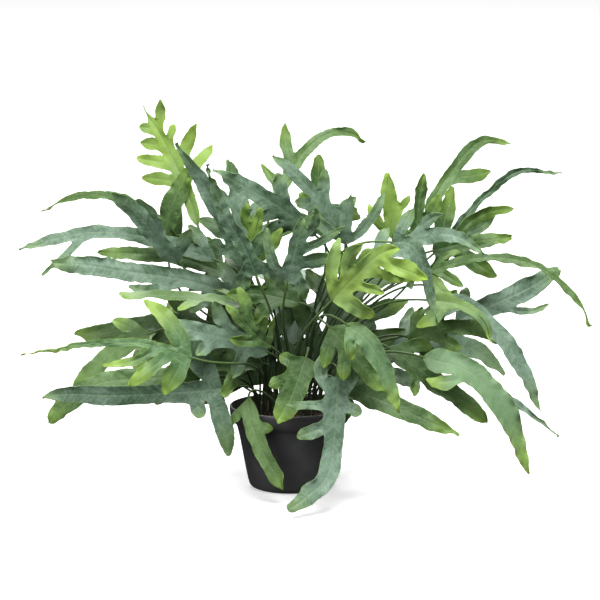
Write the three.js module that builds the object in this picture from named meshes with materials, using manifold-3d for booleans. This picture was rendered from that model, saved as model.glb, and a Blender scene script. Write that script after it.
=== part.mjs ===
// A potted blue star fern: lobed fronds on thin stems in a black nursery pot.
// Units are millimetres, +Z is up, and the origin is the centre of the pot's flat base.
// The fern's broad sides face -Y, where most of its fronds lean.
import * as THREE from "three";
import { mergeVertices } from "three/addons/utils/BufferGeometryUtils.js";
import Module from "manifold-3d";

const wasm = await Module();
wasm.setup();

// Pot
const POT_HEIGHT = 96;
const RIM_RADIUS = 70;
const RIM_ROUND = 1;
const COLLAR_RADIUS = 68.8;
const COLLAR_BOTTOM = 83;
const SHOULDER_RADIUS = 66.8;
const SHOULDER_HEIGHT = 78.5;
const WALL_TOP_RADIUS = 60.8;
const WALL_TOP = 74;
const FOOT_RADIUS = 48.4;
const FOOT_ROUND = 8.4;
const FOOT_RISE = 8;
const WALL = 1.6;
const POT_SIDES = 24;
const DRAIN_COUNT = 6;
const DRAIN_RADIUS = 4;
const DRAIN_CIRCLE = 27;
const DRAIN_SIDES = 7;
const CUT_OVERRUN = 1;

// Soil and rhizomes
const SEAT_GAP = 0.3;
const SOIL_TOP = 87;
const SOIL_RADIUS = 67.6;
const HOLE_DEPTH = 12;
const HOLE_CLEARANCE = 2.2;
const HOLE_SIDES = 3;
const RHIZOME_RADIUS = 4.2;
const RHIZOME_LENGTH = 30;
const RHIZOME_CIRCLE = 56;
const RHIZOME_TURNS = [-82, 128];
const RHIZOME_SIDES = 10;

// Fronds
const HEADING_STEP = 0.01;
const LENGTH_STEPS = 24;
const STEM_RADIUS = 1.3;
const STEM_STEPS = 4;
const STEM_RISE = 0.5;
const STEM_JOIN = 0.35;
const BLADE_THICKNESS = 0.8;
const BLADE_STEP = 22;
const LEAST_STEPS = 4;
const TIP_STEP = 0.4;
const NECK_WIDTH = 0.25;
const NECK_LENGTH = 0.06;
const ROUND_TAPER = 0.65;
const ROUND_TIP = 0.5;
const FINE_TIP = 0.85;
const BLUNT = 0.26;
const EDGE_LIFT = 0.16;
const EDGE_WAVE = 1.4;
const WAVE_TURN = 0.11;
const LOBE_ROWS = [0.4, 0.82, 1];
const LOBE_TAPER = 0.45;
const LOBE_BLUNT = 0.25;
const LOBE_DROOP = 0.14;
const LEAST_SAG = 0.7;
const LEAST_SPREAD = 50;
const MOST_SPREAD = 115;
const ROOT_CIRCLE = 45;
const ROOT_SPACING = 8;
const ROOT_EASE = 25;
const ROOT_RISE = 0.5;
const ROOT_LIMIT = 48;
const ROOT_ROUNDS = 60;

// Room that the fronds keep between each other
const SAMPLE_STEP = 8;
const NEAR = 7;
const CLEAR = 4.4;
const EASE = 0.5;
const STEM_BEND = 1.5;
const FIRST_FREE = 2;
const CELLS_ACROSS = 4096;
const CELL_MIDDLE = 1024;
const DEEP = 30;
const MOST_LEAN = 32;
const STIFFNESS = 0.12;
const SETTLE_ROUNDS = 120;
const END_HOLD = 0.5;

// Corners nearer than this are one corner
const WELD = 1e-4;

// Constants of the fixed draws
const DRAW_FIRST = 12.9898;
const DRAW_SECOND = 78.233;
const DRAW_SPREAD = 43758.5453;

const BLUE = "blue";
const GREEN = "green";
const LIME = "lime";

// Each frond gives its width, the way its upper face looks (turn from -Y to +X, then tilt up, in
// degrees), where it starts to narrow if its tip is fine, the points of its midrib from the stem
// to the tip, and its side lobes as
// [place along the blade, angle from the midrib with left negative, length, width].
const FRONDS = [
  { colour: BLUE, width: 23, face: [10, 20],
    rib: [[54, -88, 150], [52, -100, 116], [49, -114, 79], [42, -132, 43], [20, -150, 24], [-2, -168, 11]],
    lobes: [[0.06, 180, 42, 15], [0.08, 85, 48, 9], [0.14, 65, 33, 15], [0.06, -175, 32, 9],
      [0.11, -70, 18, 14]] },
  { colour: GREEN, width: 18, face: [-15, 15],
    rib: [[-47, -68, 118], [-43, -82, 89], [-32, -90, 62], [-17, -96, 36], [-8, -102, 18]],
    lobes: [[0.1, 50, 26, 10], [0.3, -70, 14, 10]] },
  { colour: GREEN, width: 28, face: [0, 20],
    rib: [[18, -85, 170], [9, -93, 146], [0, -99, 124], [-15, -105, 100]],
    lobes: [[0.06, 105, 16, 14], [0.09, -95, 6, 13], [0.4, 45, 20, 12]] },
  { colour: BLUE, width: 22, face: [-10, 12], taper: 0.5,
    rib: [[-77, -90, 132], [-124, -100, 131], [-192, -108, 129], [-254, -110, 131], [-280, -108, 127]],
    lobes: [[0.04, 60, 90, 28], [0.02, -102, 68, 21], [0.1, -95, 20, 16]] },
  { colour: GREEN, width: 25, face: [-12, 30],
    rib: [[-102, -66, 142], [-159, -76, 143], [-216, -82, 138], [-255, -86, 113], [-274, -88, 93]],
    lobes: [[0.06, 55, 38, 16], [0.16, -50, 24, 15]] },
  { colour: LIME, width: 11, face: [-15, 30], taper: 0.3,
    rib: [[-110, -118, 181], [-146, -126, 194], [-182, -130, 198], [-236, -132, 195], [-302, -130, 183]],
    lobes: [[0.1, 35, 74, 19], [0.15, -25, 60, 10], [0.05, -80, 44, 21], [0.1, -55, 65, 14]] },
  { colour: GREEN, width: 23, face: [-15, 30],
    rib: [[-160, -40, 189], [-196, -44, 171], [-221, -48, 151], [-249, -50, 118]],
    lobes: [[0.08, 50, 34, 15], [0.2, -50, 30, 14]] },
  { colour: GREEN, width: 23, face: [-20, 25], taper: 0.6,
    rib: [[-57, -14, 169], [-115, -8, 188], [-161, 0, 189], [-221, 8, 175], [-248, 12, 178]],
    lobes: [[0.22, -45, 30, 16], [0.06, 30, 34, 16], [0.1, -75, 32, 16], [0.3, 45, 34, 15],
      [0.42, -45, 30, 15]] },
  { colour: BLUE, width: 23, face: [-10, 25],
    rib: [[-25, -57, 169], [-62, -65, 186], [-102, -71, 200], [-142, -75, 212]],
    lobes: [[0.12, 40, 37, 16], [0.24, -85, 31, 15], [0.4, 45, 30, 15], [0.5, -45, 26, 14]] },
  { colour: GREEN, width: 23, face: [-10, 30],
    rib: [[-32, -63, 153], [-61, -69, 158], [-91, -73, 161], [-119, -75, 166]],
    lobes: [[0.13, 60, 29, 16], [0.26, -60, 35, 15], [0.4, 45, 28, 14]] },
  { colour: GREEN, width: 21, face: [-30, 70],
    rib: [[-51, -56, 222], [-102, -64, 233], [-159, -70, 237], [-194, -72, 239]],
    lobes: [[0.1, 50, 36, 15], [0.3, -45, 32, 14]] },
  { colour: BLUE, width: 22, face: [-15, 25],
    rib: [[-57, -36, 225], [-114, -41, 245], [-182, -44, 257], [-233, -46, 266], [-272, -48, 269]],
    lobes: [[0.35, -10, 42, 14], [0.08, 40, 33, 16], [0.14, -60, 27, 15]] },
  { colour: GREEN, width: 17, face: [-20, 20],
    rib: [[-75, 20, 244], [-127, 30, 260], [-173, 40, 263], [-223, 48, 264]],
    lobes: [[0.28, 0, 49, 14], [0.09, 45, 33, 15], [0.1, -50, 32, 14]] },
  { colour: BLUE, width: 18, face: [-15, 35], taper: 0.4,
    rib: [[-86, -14, 266], [-160, -20, 292], [-221, -24, 300], [-274, -26, 291], [-310, -28, 281]],
    lobes: [[0.55, -32, 58, 8], [0.07, 40, 34, 14]] },
  { colour: BLUE, width: 21, face: [-30, 15],
    rib: [[-128, -30, 266], [-148, -34, 289], [-170, -38, 321], [-204, -40, 350]],
    lobes: [[0.41, 0, 43, 10], [0.12, 60, 34, 14]] },
  { colour: GREEN, width: 11, face: [-30, 30], taper: 0.4,
    rib: [[-127, 60, 279], [-163, 80, 305], [-204, 100, 322], [-251, 116, 320], [-296, 130, 298]],
    lobes: [[0.06, 50, 34, 13]] },
  { colour: LIME, width: 14, face: [-10, 10], taper: 0.5,
    rib: [[-106, 23, 302], [-118, 36, 337], [-134, 52, 372], [-153, 66, 406], [-171, 74, 432]],
    lobes: [[0.36, -56, 44, 14], [0.5, -54, 37, 13], [0.64, -52, 24, 12], [0.79, -50, 14, 10],
      [0.36, 60, 46, 13], [0.5, 58, 45, 14], [0.64, 40, 28, 11], [0.79, 48, 18, 7]] },
  { colour: GREEN, width: 25, face: [-32, 15],
    rib: [[-140, 24, 259], [-143, 28, 290], [-135, 32, 324], [-114, 36, 369]],
    lobes: [[0.4, -60, 42, 11], [0.14, 60, 36, 14]] },
  { colour: BLUE, width: 20, face: [-28, 10], taper: 0.5,
    rib: [[-50, -49, 265], [-70, -55, 310], [-99, -61, 366], [-129, -65, 411]],
    lobes: [[0.09, 50, 43, 15], [0.23, -55, 27, 14]] },
  { colour: BLUE, width: 17, face: [-10, 15], taper: 0.45,
    rib: [[-38, -102, 267], [-53, -110, 304], [-76, -118, 343], [-93, -122, 397]],
    lobes: [[0.11, -165, 25, 15], [0.05, 160, 38, 15]] },
  { colour: BLUE, width: 22, face: [20, 10],
    rib: [[-44, 70, 251], [-58, 96, 307], [-71, 118, 362]],
    lobes: [[0.17, 85, 58, 18], [0.3, -55, 50, 18], [0.4, 50, 30, 14], [0.5, -40, 28, 13]] },
  { colour: BLUE, width: 21, face: [-5, 15], taper: 0.5,
    rib: [[29, 44, 288], [-12, 36, 322], [-57, 26, 350], [-88, 16, 369]],
    lobes: [[0.13, 40, 30, 15], [0.17, -55, 28, 14], [0.35, -50, 30, 14], [0.4, 45, 28, 13]] },
  { colour: GREEN, width: 13, face: [-5, 20], taper: 0.35,
    rib: [[-16, 90, 320], [10, 120, 364], [41, 140, 389], [72, 150, 391], [86, 156, 376]],
    lobes: [[0.13, -38, 46, 13], [0.06, -58, 33, 10]] },
  { colour: BLUE, width: 16, face: [20, 20], taper: 0.6,
    rib: [[55, -10, 304], [29, -16, 342], [1, -22, 373], [-20, -26, 390]],
    lobes: [[0.14, 90, 33, 14], [0.2, -50, 31, 14], [0.4, 45, 28, 13], [0.4, -45, 28, 13]] },
  { colour: GREEN, width: 21, face: [30, 10],
    rib: [[40, 60, 278], [33, 84, 327], [33, 104, 370]],
    lobes: [[0.21, 90, 54, 16], [0.31, -35, 26, 15], [0.1, -55, 32, 15]] },
  { colour: LIME, width: 13, face: [0, 10],
    rib: [[-32, -24, 267], [-39, -26, 298], [-33, -28, 330]],
    lobes: [[0.68, -15, 31, 10], [0.2, 50, 34, 13], [0.3, -50, 30, 12]] },
  { colour: BLUE, width: 17, face: [0, 20],
    rib: [[-3, -111, 260], [2, -115, 283], [8, -119, 306], [15, -123, 337]],
    lobes: [[0.3, 60, 42, 16], [0.46, 45, 54, 9], [0.24, -30, 55, 11], [0.12, 155, 29, 14],
      [0.7, 5, 36, 9]] },
  { colour: LIME, width: 18, face: [15, 20],
    rib: [[47, -138, 244], [73, -146, 273], [98, -150, 297], [121, -152, 307]],
    lobes: [[0.14, -35, 56, 13], [0.35, -15, 43, 13], [0.54, 60, 32, 11], [0.42, 60, 50, 10],
      [0.07, 50, 56, 18], [0.02, 80, 40, 18]] },
  { colour: BLUE, width: 16, face: [15, 25], taper: 0.6,
    rib: [[93, -82, 278], [138, -84, 299], [181, -86, 308], [220, -86, 286]],
    lobes: [[0.47, -15, 35, 11], [0.12, -40, 26, 13], [0.2, 65, 25, 13]] },
  { colour: BLUE, width: 16, face: [15, 15], taper: 0.5,
    rib: [[115, -104, 307], [138, -108, 304], [153, -112, 267], [166, -118, 214]],
    lobes: [[0.57, 25, 31, 11], [0.12, -55, 34, 13]] },
  { colour: LIME, width: 22, face: [10, 20], taper: 0.6,
    rib: [[65, -122, 216], [87, -130, 199], [106, -136, 164], [123, -140, 118]],
    lobes: [[0.12, 50, 26, 13]] },
  { colour: GREEN, width: 21, face: [15, 25], taper: 0.6,
    rib: [[45, -92, 204], [77, -98, 168], [106, -100, 131]],
    lobes: [[0.39, 55, 32, 14], [0.17, -60, 24, 15], [0.5, -45, 26, 13], [0.12, 50, 30, 14]] },
  { colour: GREEN, width: 26, face: [10, 30], taper: 0.5,
    rib: [[50, -68, 141], [85, -78, 126], [142, -88, 103], [192, -94, 82]],
    lobes: [[0.26, 55, 23, 9], [0.12, -50, 32, 15], [0.1, 50, 30, 14], [0.4, -45, 26, 14]] },
  { colour: GREEN, width: 25, face: [20, 30],
    rib: [[114, -52, 173], [159, -60, 141], [194, -66, 116], [225, -72, 91]],
    lobes: [[0.2, 60, 22, 11], [0.12, -50, 34, 15]] },
  { colour: LIME, width: 29, face: [20, 30], taper: 0.6,
    rib: [[152, -76, 167], [204, -84, 151], [244, -92, 107], [271, -98, 36]],
    lobes: [[0.28, 155, 36, 15]] },
  { colour: BLUE, width: 9, face: [25, 25], taper: 0.5,
    rib: [[144, 10, 170], [186, 16, 146], [240, 24, 108], [275, 30, 81], [311, 34, 51]],
    lobes: [[0.12, -11, 90, 22], [0.08, 50, 28, 15]] },
  { colour: BLUE, width: 20, face: [20, 25], taper: 0.6,
    rib: [[184, -34, 230], [229, -40, 198], [263, -46, 152], [286, -50, 98]],
    lobes: [[0.08, 140, 38, 15]] },
  { colour: LIME, width: 13, face: [15, 25], taper: 0.5,
    rib: [[161, -62, 230], [193, -66, 226], [220, -68, 208], [228, -70, 183]],
    lobes: [[0.05, 140, 36, 15], [0.05, -140, 36, 15]] },
  { colour: GREEN, width: 18, face: [20, 20],
    rib: [[135, -22, 176], [172, -22, 190], [212, -22, 190], [240, -20, 172]],
    lobes: [[0.13, -40, 44, 16], [0.26, 70, 23, 14], [0.1, 45, 30, 14], [0.4, -45, 28, 14]] },
  { colour: BLUE, width: 24, face: [20, 25],
    rib: [[192, 50, 186], [237, 60, 205], [278, 70, 222], [312, 80, 242]],
    lobes: [[0.42, 16, 48, 8], [0.13, -50, 25, 14]] },
  { colour: GREEN, width: 11, face: [20, 35], taper: 0.35,
    rib: [[161, 8, 249], [212, 6, 265], [275, 2, 260], [326, 0, 223], [345, -2, 188]],
    lobes: [[0.08, -15, 32, 7], [0.06, 50, 32, 11]] },
  { colour: GREEN, width: 17, face: [15, 15],
    rib: [[164, 20, 271], [190, 28, 276], [219, 36, 280], [256, 44, 283]],
    lobes: [[0.09, -60, 68, 18], [0.17, -15, 74, 13], [0.21, 46, 50, 17], [0.05, 150, 40, 15]] },
  { colour: BLUE, width: 9, face: [15, 20], taper: 0.4,
    rib: [[181, 70, 276], [224, 94, 322], [268, 112, 351], [316, 124, 343]],
    lobes: [[0.12, 20, 58, 10]] },
  { colour: GREEN, width: 14, face: [10, 20], taper: 0.5,
    rib: [[157, 90, 306], [184, 116, 345], [221, 134, 383], [259, 146, 378]],
    lobes: [[0.36, 40, 45, 14]] },
  { colour: LIME, width: 18, face: [5, 10], taper: 0.6,
    rib: [[117, -34, 295], [116, -38, 324], [112, -42, 348], [110, -44, 370]],
    lobes: [[0.18, -30, 34, 10], [0.41, 45, 20, 8]] },
  { colour: GREEN, width: 15, face: [10, 10],
    rib: [[146, -4, 278], [145, -6, 311], [148, -8, 341], [153, -8, 368]],
    lobes: [[0.29, 30, 34, 15], [0.14, -45, 34, 14]] },
  { colour: BLUE, width: 14, face: [0, 10], taper: 0.5,
    rib: [[63, -50, 290], [64, -54, 321], [70, -58, 352]],
    lobes: [[0.19, 35, 63, 11], [0.18, -45, 44, 13]] },
  { colour: GREEN, width: 11, face: [-10, 20],
    rib: [[-22, -110, 183], [-34, -115, 194], [-56, -121, 218], [-73, -125, 235]],
    lobes: [[0.27, 30, 35, 13], [0.2, 70, 25, 8], [0.3, -40, 28, 12], [0.5, 50, 22, 11]] },
  { colour: GREEN, width: 20, face: [-10, 25],
    rib: [[11, -69, 226], [-32, -77, 236], [-73, -81, 237]],
    lobes: [[0.19, 45, 31, 15], [0.33, -65, 29, 15], [0.5, 45, 26, 13]] },
  { colour: GREEN, width: 30, face: [-8, 25],
    rib: [[-26, 30, 114], [-38, 38, 154], [-52, 54, 198], [-62, 86, 240], [-70, 128, 262]],
    lobes: [[0.08, 66, 66, 22], [0.1, -66, 66, 22], [0.3, 58, 62, 19], [0.28, -58, 62, 19],
      [0.5, 52, 48, 17], [0.5, -52, 48, 17], [0.7, 42, 30, 14], [0.7, -42, 30, 14]] },
  { colour: GREEN, width: 30, face: [10, 25],
    rib: [[30, 30, 114], [44, 38, 152], [62, 52, 192], [80, 82, 230], [98, 122, 258]],
    lobes: [[0.08, 66, 66, 22], [0.1, -66, 66, 22], [0.3, 50, 76, 21], [0.28, -52, 62, 20],
      [0.5, 44, 70, 20], [0.5, -52, 56, 18], [0.7, 42, 42, 16], [0.7, -42, 34, 15]] },
  { colour: BLUE, width: 26, face: [0, 40],
    rib: [[2, 66, 118], [4, 94, 160], [6, 126, 196], [8, 168, 218], [10, 215, 214], [12, 250, 190]],
    lobes: [[0.08, 65, 64, 19], [0.1, -65, 64, 19], [0.3, 60, 60, 18], [0.28, -60, 60, 18],
      [0.5, 55, 48, 16], [0.5, -55, 48, 16], [0.7, 45, 30, 14]] },
  { colour: GREEN, width: 26, face: [-30, 45],
    rib: [[-54, 40, 108], [-94, 58, 138], [-140, 76, 158], [-184, 100, 160], [-218, 118, 142]],
    lobes: [[0.08, 68, 56, 19], [0.1, -68, 50, 19], [0.3, 62, 66, 19], [0.28, -62, 50, 18],
      [0.52, 55, 44, 16], [0.5, -55, 42, 16]] },
  { colour: BLUE, width: 26, face: [30, 45],
    rib: [[58, 40, 106], [99, 56, 134], [148, 72, 152], [198, 96, 150], [238, 116, 128]],
    lobes: [[0.08, 68, 50, 19], [0.1, -68, 56, 19], [0.3, 62, 50, 18], [0.28, -62, 56, 18],
      [0.52, 55, 42, 16], [0.5, -55, 44, 16]] },
  { colour: GREEN, width: 26, face: [160, 60],
    rib: [[-30, 86, 104], [-52, 130, 118], [-72, 175, 112], [-86, 215, 84]],
    lobes: [[0.08, 65, 52, 18], [0.1, -65, 52, 18], [0.4, 55, 44, 16], [0.38, -55, 44, 16]] },
  { colour: LIME, width: 25, face: [200, 60],
    rib: [[34, 84, 104], [62, 128, 120], [86, 172, 114], [102, 210, 86]],
    lobes: [[0.08, 65, 52, 18], [0.1, -65, 52, 18], [0.4, 55, 44, 16], [0.38, -55, 44, 16]] },
];

const MATERIALS = {
  pot: new THREE.MeshStandardMaterial({ color: 0x2c2c2d, roughness: 0.55, metalness: 0 }),
  soil: new THREE.MeshStandardMaterial({ color: 0x33241b, roughness: 0.95, metalness: 0 }),
  rhizome: new THREE.MeshStandardMaterial({ color: 0x8a5a33, roughness: 0.9, metalness: 0 }),
  blue: new THREE.MeshStandardMaterial({ color: 0x7da592, roughness: 0.6, metalness: 0 }),
  green: new THREE.MeshStandardMaterial({ color: 0x5a8153, roughness: 0.55, metalness: 0 }),
  lime: new THREE.MeshStandardMaterial({ color: 0x8fb45a, roughness: 0.55, metalness: 0 }),
};

const point = (x, y, z) => new THREE.Vector3(x, y, z);
const radians = THREE.MathUtils.degToRad;
const clamp = THREE.MathUtils.clamp;

// A smooth curve through the points, at u from 0 at the first to 1 at the last.
function through(points, u) {
  const spans = points.length - 1;
  const k = Math.min(Math.floor(u * spans), spans - 1);
  const t = u * spans - k;
  const at = (i) => {
    if (i < 0) return points[0].clone().multiplyScalar(2).sub(points[1]);
    if (i > spans) return points[spans].clone().multiplyScalar(2).sub(points[spans - 1]);
    return points[i];
  };
  const [a, b, c, d] = [at(k - 1), at(k), at(k + 1), at(k + 2)];
  const blend = (p, q, r, s) =>
    q + 0.5 * t * (r - p + t * (2 * p - 5 * q + 4 * r - s + t * (3 * q - 3 * r + s - p)));
  return point(blend(a.x, b.x, c.x, d.x), blend(a.y, b.y, c.y, d.y), blend(a.z, b.z, c.z, d.z));
}

function heading(curve, u) {
  const [before, after] = [Math.max(u - HEADING_STEP, 0), Math.min(u + HEADING_STEP, 1)];
  return curve(after).sub(curve(before)).normalize();
}

function curveLength(curve) {
  let length = 0;
  for (let i = 0; i < LENGTH_STEPS; i++) {
    length += curve(i / LENGTH_STEPS).distanceTo(curve((i + 1) / LENGTH_STEPS));
  }
  return length;
}

// The part of a vector that stands square to a direction, at unit length.
function squareTo(vector, direction) {
  return vector.clone().addScaledVector(direction, -vector.dot(direction)).normalize();
}

function faceVector([turn, tilt]) {
  const [a, b] = [radians(turn), radians(tilt)];
  return point(Math.sin(a) * Math.cos(b), -Math.cos(a) * Math.cos(b), Math.sin(b));
}

// Half the blade's width: narrow at the stem, full along the middle, round at the tip.
function halfWidth(frond, s) {
  const neck = NECK_WIDTH + (1 - NECK_WIDTH) * Math.min(1, s / NECK_LENGTH);
  const past = Math.max(0, (s - frond.taper) / (1 - frond.taper));
  const nose = (1 - past ** 2) ** (frond.taper < ROUND_TAPER ? FINE_TIP : ROUND_TIP);
  return (frond.width / 2) * neck * Math.max(nose, BLUNT);
}

// Where the blade runs and faces at a place along it.
function bladeFrame(frond, s) {
  const curve = (u) => through(frond.points, u);
  const ahead = heading(curve, s);
  const up = squareTo(frond.facing, ahead);
  return { at: curve(s), ahead, up, right: ahead.clone().cross(up) };
}

function edgePoint(frond, s, side) {
  const { at, up, right } = bladeFrame(frond, s);
  const half = halfWidth(frond, s);
  const wave = EDGE_WAVE * Math.sin(frond.phase + side + WAVE_TURN * frond.length * s);
  return at.addScaledVector(right, side * half).addScaledVector(up, EDGE_LIFT * half + wave);
}

// A side lobe: it leaves the blade's edge well to the side, then swings round to its own angle
// and sags a little.
function lobeFrame(frond, lobe, q) {
  const { ahead, up, right } = bladeFrame(frond, lobe.at);
  const towards = (degrees) => {
    const turn = radians(degrees);
    const side = right.clone().multiplyScalar(lobe.side * Math.sin(turn));
    return side.addScaledVector(ahead, Math.cos(turn));
  };
  const angle = Math.abs(lobe.angle);
  const straight = towards(angle);
  const swing = towards(clamp(angle, LEAST_SPREAD, MOST_SPREAD)).sub(straight);
  const at = edgePoint(frond, lobe.at, lobe.side)
    .addScaledVector(straight, lobe.length * q)
    .addScaledVector(swing, lobe.length * q * (1 - q))
    .addScaledVector(up, -LOBE_DROOP * lobe.sag * lobe.length * q * q);
  const out = straight.addScaledVector(swing, 1 - 2 * q).normalize();
  return { at, up, right: out.cross(up) };
}

function lobeHalf(lobe, q) {
  const past = Math.max(0, (q - LOBE_TAPER) / (1 - LOBE_TAPER));
  return (lobe.width / 2) * Math.max(Math.sqrt(1 - past ** 2), LOBE_BLUNT);
}

// Six corners round a place on a leaf: its left edge, rib and right edge, above and then below.
function leafRing({ at, up, right }, half, liftLeft, liftRight, thickness) {
  const ring = [];
  for (const face of [1, -1]) {
    const offsets = [[-half, liftLeft], [0, 0], [half, liftRight]];
    if (face < 0) offsets.reverse();
    for (const [across, lift] of offsets) {
      const corner = at.clone().addScaledVector(right, across);
      ring.push(corner.addScaledVector(up, lift + (face * thickness) / 2));
    }
  }
  return ring;
}

function stemRing({ at, up, right }, radius) {
  const ring = [];
  for (const degrees of [150, 90, 30, -30, -90, -150]) {
    const a = radians(degrees);
    const corner = at.clone().addScaledVector(right, radius * Math.cos(a));
    ring.push(corner.addScaledVector(up, radius * Math.sin(a)));
  }
  return ring;
}

// Collects corners and triangles, and gives them back as a closed geometry.
class Skin {
  corners = [];
  faces = [];

  addRing(ring) {
    const first = this.corners.length;
    this.corners.push(...ring);
    return ring.map((_, i) => first + i);
  }

  // Joins two rings of six, with the diagonals of the upper face repeated on the lower one.
  join(a, b, openLeft = false, openRight = false) {
    for (let j = 0; j < 6; j++) {
      if ((j === 2 && openRight) || (j === 5 && openLeft)) continue;
      const n = (j + 1) % 6;
      if (j < 3) this.faces.push([a[j], a[n], b[n]], [a[j], b[n], b[j]]);
      else this.faces.push([a[j], a[n], b[j]], [a[n], b[n], b[j]]);
    }
  }

  close(r, atStart) {
    const lid = [[r[0], r[1], r[4]], [r[0], r[4], r[5]], [r[1], r[2], r[3]], [r[1], r[3], r[4]]];
    for (const [p, q, s] of lid) this.faces.push(atStart ? [p, s, q] : [p, q, s]);
  }

  // Joins the open wall of a blade, left and right as the lobe looks out, to the lobe's first ring.
  open(leftTop, leftLow, rightTop, rightLow, b) {
    this.faces.push([leftTop, rightTop, b[1]], [leftTop, b[1], b[0]], [rightTop, b[2], b[1]]);
    this.faces.push([rightLow, leftLow, b[4]], [leftLow, b[5], b[4]], [rightLow, b[4], b[3]]);
    this.faces.push([leftLow, leftTop, b[0]], [leftLow, b[0], b[5]]);
    this.faces.push([rightTop, rightLow, b[3]], [rightTop, b[3], b[2]]);
  }

  geometry() {
    const made = new THREE.BufferGeometry().setFromPoints(this.corners);
    made.setIndex(this.faces.flat());
    return made;
  }
}

function stemCurve(frond) {
  const start = frond.root;
  const end = frond.points[0];
  const reach = start.distanceTo(end);
  const ahead = bladeFrame(frond, 0).ahead;
  const rise = start.clone().add(point(0, 0, STEM_RISE * reach));
  const join = end.clone().addScaledVector(ahead, -STEM_JOIN * reach);
  const curve = new THREE.CubicBezierCurve3(start, rise, join, end);
  return (u) => curve.getPoint(u);
}

// Stem frames, carried back from the blade so that the stem never twists.
function stemFrames(frond) {
  const curve = stemCurve(frond);
  let up = bladeFrame(frond, 0).up;
  const frames = [];
  for (let i = STEM_STEPS; i >= 0; i--) {
    const ahead = i === 0 ? point(0, 0, 1) : heading(curve, i / STEM_STEPS);
    up = squareTo(up, ahead);
    frames.unshift({ at: curve(i / STEM_STEPS), ahead, up, right: ahead.clone().cross(up) });
  }
  const foot = { ...frames[0], at: frames[0].at.clone() };
  foot.at.z = SOIL_TOP - HOLE_DEPTH + SEAT_GAP;
  frames.unshift(foot);
  return frames;
}

function bladeStations(frond) {
  const steps = Math.max(LEAST_STEPS, Math.round(frond.length / BLADE_STEP));
  const stations = [];
  for (let i = 0; i < steps; i++) stations.push(i / steps);
  stations.push(1 - TIP_STEP / steps, 1);
  return stations;
}

// Lobes take the free stretches of edge nearest to their places. Along each edge the ones that
// spread widest sit nearest to the stem, and they bend up and down in turn, so none cross.
function seatLobes(frond) {
  const stations = bladeStations(frond);
  for (const side of [-1, 1]) {
    const lobes = frond.lobes.filter((lobe) => lobe.side === side);
    const seats = [];
    for (const lobe of lobes) {
      const away = (k) => Math.abs((stations[k] + stations[k + 1]) / 2 - lobe.at);
      const free = stations.slice(0, -2).map((_, k) => k).filter((k) => !seats.includes(k));
      seats.push(free.reduce((best, k) => (away(k) < away(best) ? k : best)));
    }
    seats.sort((a, b) => a - b);
    lobes.sort((a, b) => Math.abs(b.angle) - Math.abs(a.angle));
    lobes.forEach((lobe, i) => {
      lobe.seat = seats[i];
      lobe.at = (stations[seats[i]] + stations[seats[i] + 1]) / 2;
      lobe.sag *= i % 2 ? -1 : 1;
    });
  }
}

function addLobe(skin, frond, lobe, before, after) {
  const [near, far] = lobe.side > 0 ? [after, before] : [before, after];
  const edge = lobe.side > 0 ? [2, 3] : [0, 5];
  let last = null;
  for (const q of LOBE_ROWS) {
    const half = lobeHalf(lobe, q);
    const lift = EDGE_LIFT * half;
    const ring = leafRing(lobeFrame(frond, lobe, q), half, lift, lift, BLADE_THICKNESS);
    const next = skin.addRing(ring);
    if (last) skin.join(last, next);
    else skin.open(near[edge[0]], near[edge[1]], far[edge[0]], far[edge[1]], next);
    last = next;
  }
  skin.close(last, false);
}

// A whole frond: its stem, its blade and its side lobes in one skin.
function frondGeometry(frond) {
  const skin = new Skin();
  const stations = bladeStations(frond);
  let last = null;
  for (const frame of stemFrames(frond).slice(0, -1)) {
    const ring = skin.addRing(stemRing(frame, STEM_RADIUS));
    if (last) skin.join(last, ring);
    else skin.close(ring, true);
    last = ring;
  }
  const rings = stations.map((s) => {
    const frame = bladeFrame(frond, s);
    const half = halfWidth(frond, s);
    const lift = (side) => edgePoint(frond, s, side).sub(frame.at).dot(frame.up);
    const thickness = s === 0 ? 2 * STEM_RADIUS : BLADE_THICKNESS;
    return skin.addRing(leafRing(frame, half, lift(-1), lift(1), thickness));
  });
  skin.join(last, rings[0]);
  for (let k = 0; k + 1 < rings.length; k++) {
    const lobesHere = frond.lobes.filter((lobe) => lobe.seat === k);
    const left = lobesHere.find((lobe) => lobe.side < 0);
    const right = lobesHere.find((lobe) => lobe.side > 0);
    skin.join(rings[k], rings[k + 1], Boolean(left), Boolean(right));
    if (left) addLobe(skin, frond, left, rings[k], rings[k + 1]);
    if (right) addLobe(skin, frond, right, rings[k], rings[k + 1]);
  }
  skin.close(rings[rings.length - 1], false);
  return skin.geometry();
}

// Roots: a frond that leans far stands near the rim, an upright one near the middle.
function placeRoots(fronds) {
  for (const frond of fronds) {
    const middle = through(frond.points, 0.5);
    const flat = Math.hypot(middle.x, middle.y);
    const lean = flat / (flat + ROOT_RISE * Math.max(0, middle.z - SOIL_TOP) + ROOT_EASE);
    const out = (ROOT_CIRCLE * lean) / flat;
    frond.root = point(middle.x * out, middle.y * out, SOIL_TOP);
  }
  for (let round = 0; round < ROOT_ROUNDS; round++) {
    fronds.forEach((a, i) => {
      for (const b of fronds.slice(i + 1)) {
        const apart = b.root.clone().sub(a.root);
        const gap = ROOT_SPACING - apart.length();
        if (gap <= 0) continue;
        apart.normalize().multiplyScalar(gap / 2);
        b.root.add(apart);
        a.root.sub(apart);
      }
    });
    for (const { root } of fronds) {
      const flat = Math.hypot(root.x, root.y);
      const keep = Math.min(1, ROOT_LIMIT / flat);
      root.set(root.x * keep, root.y * keep, SOIL_TOP);
    }
  }
}

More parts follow.
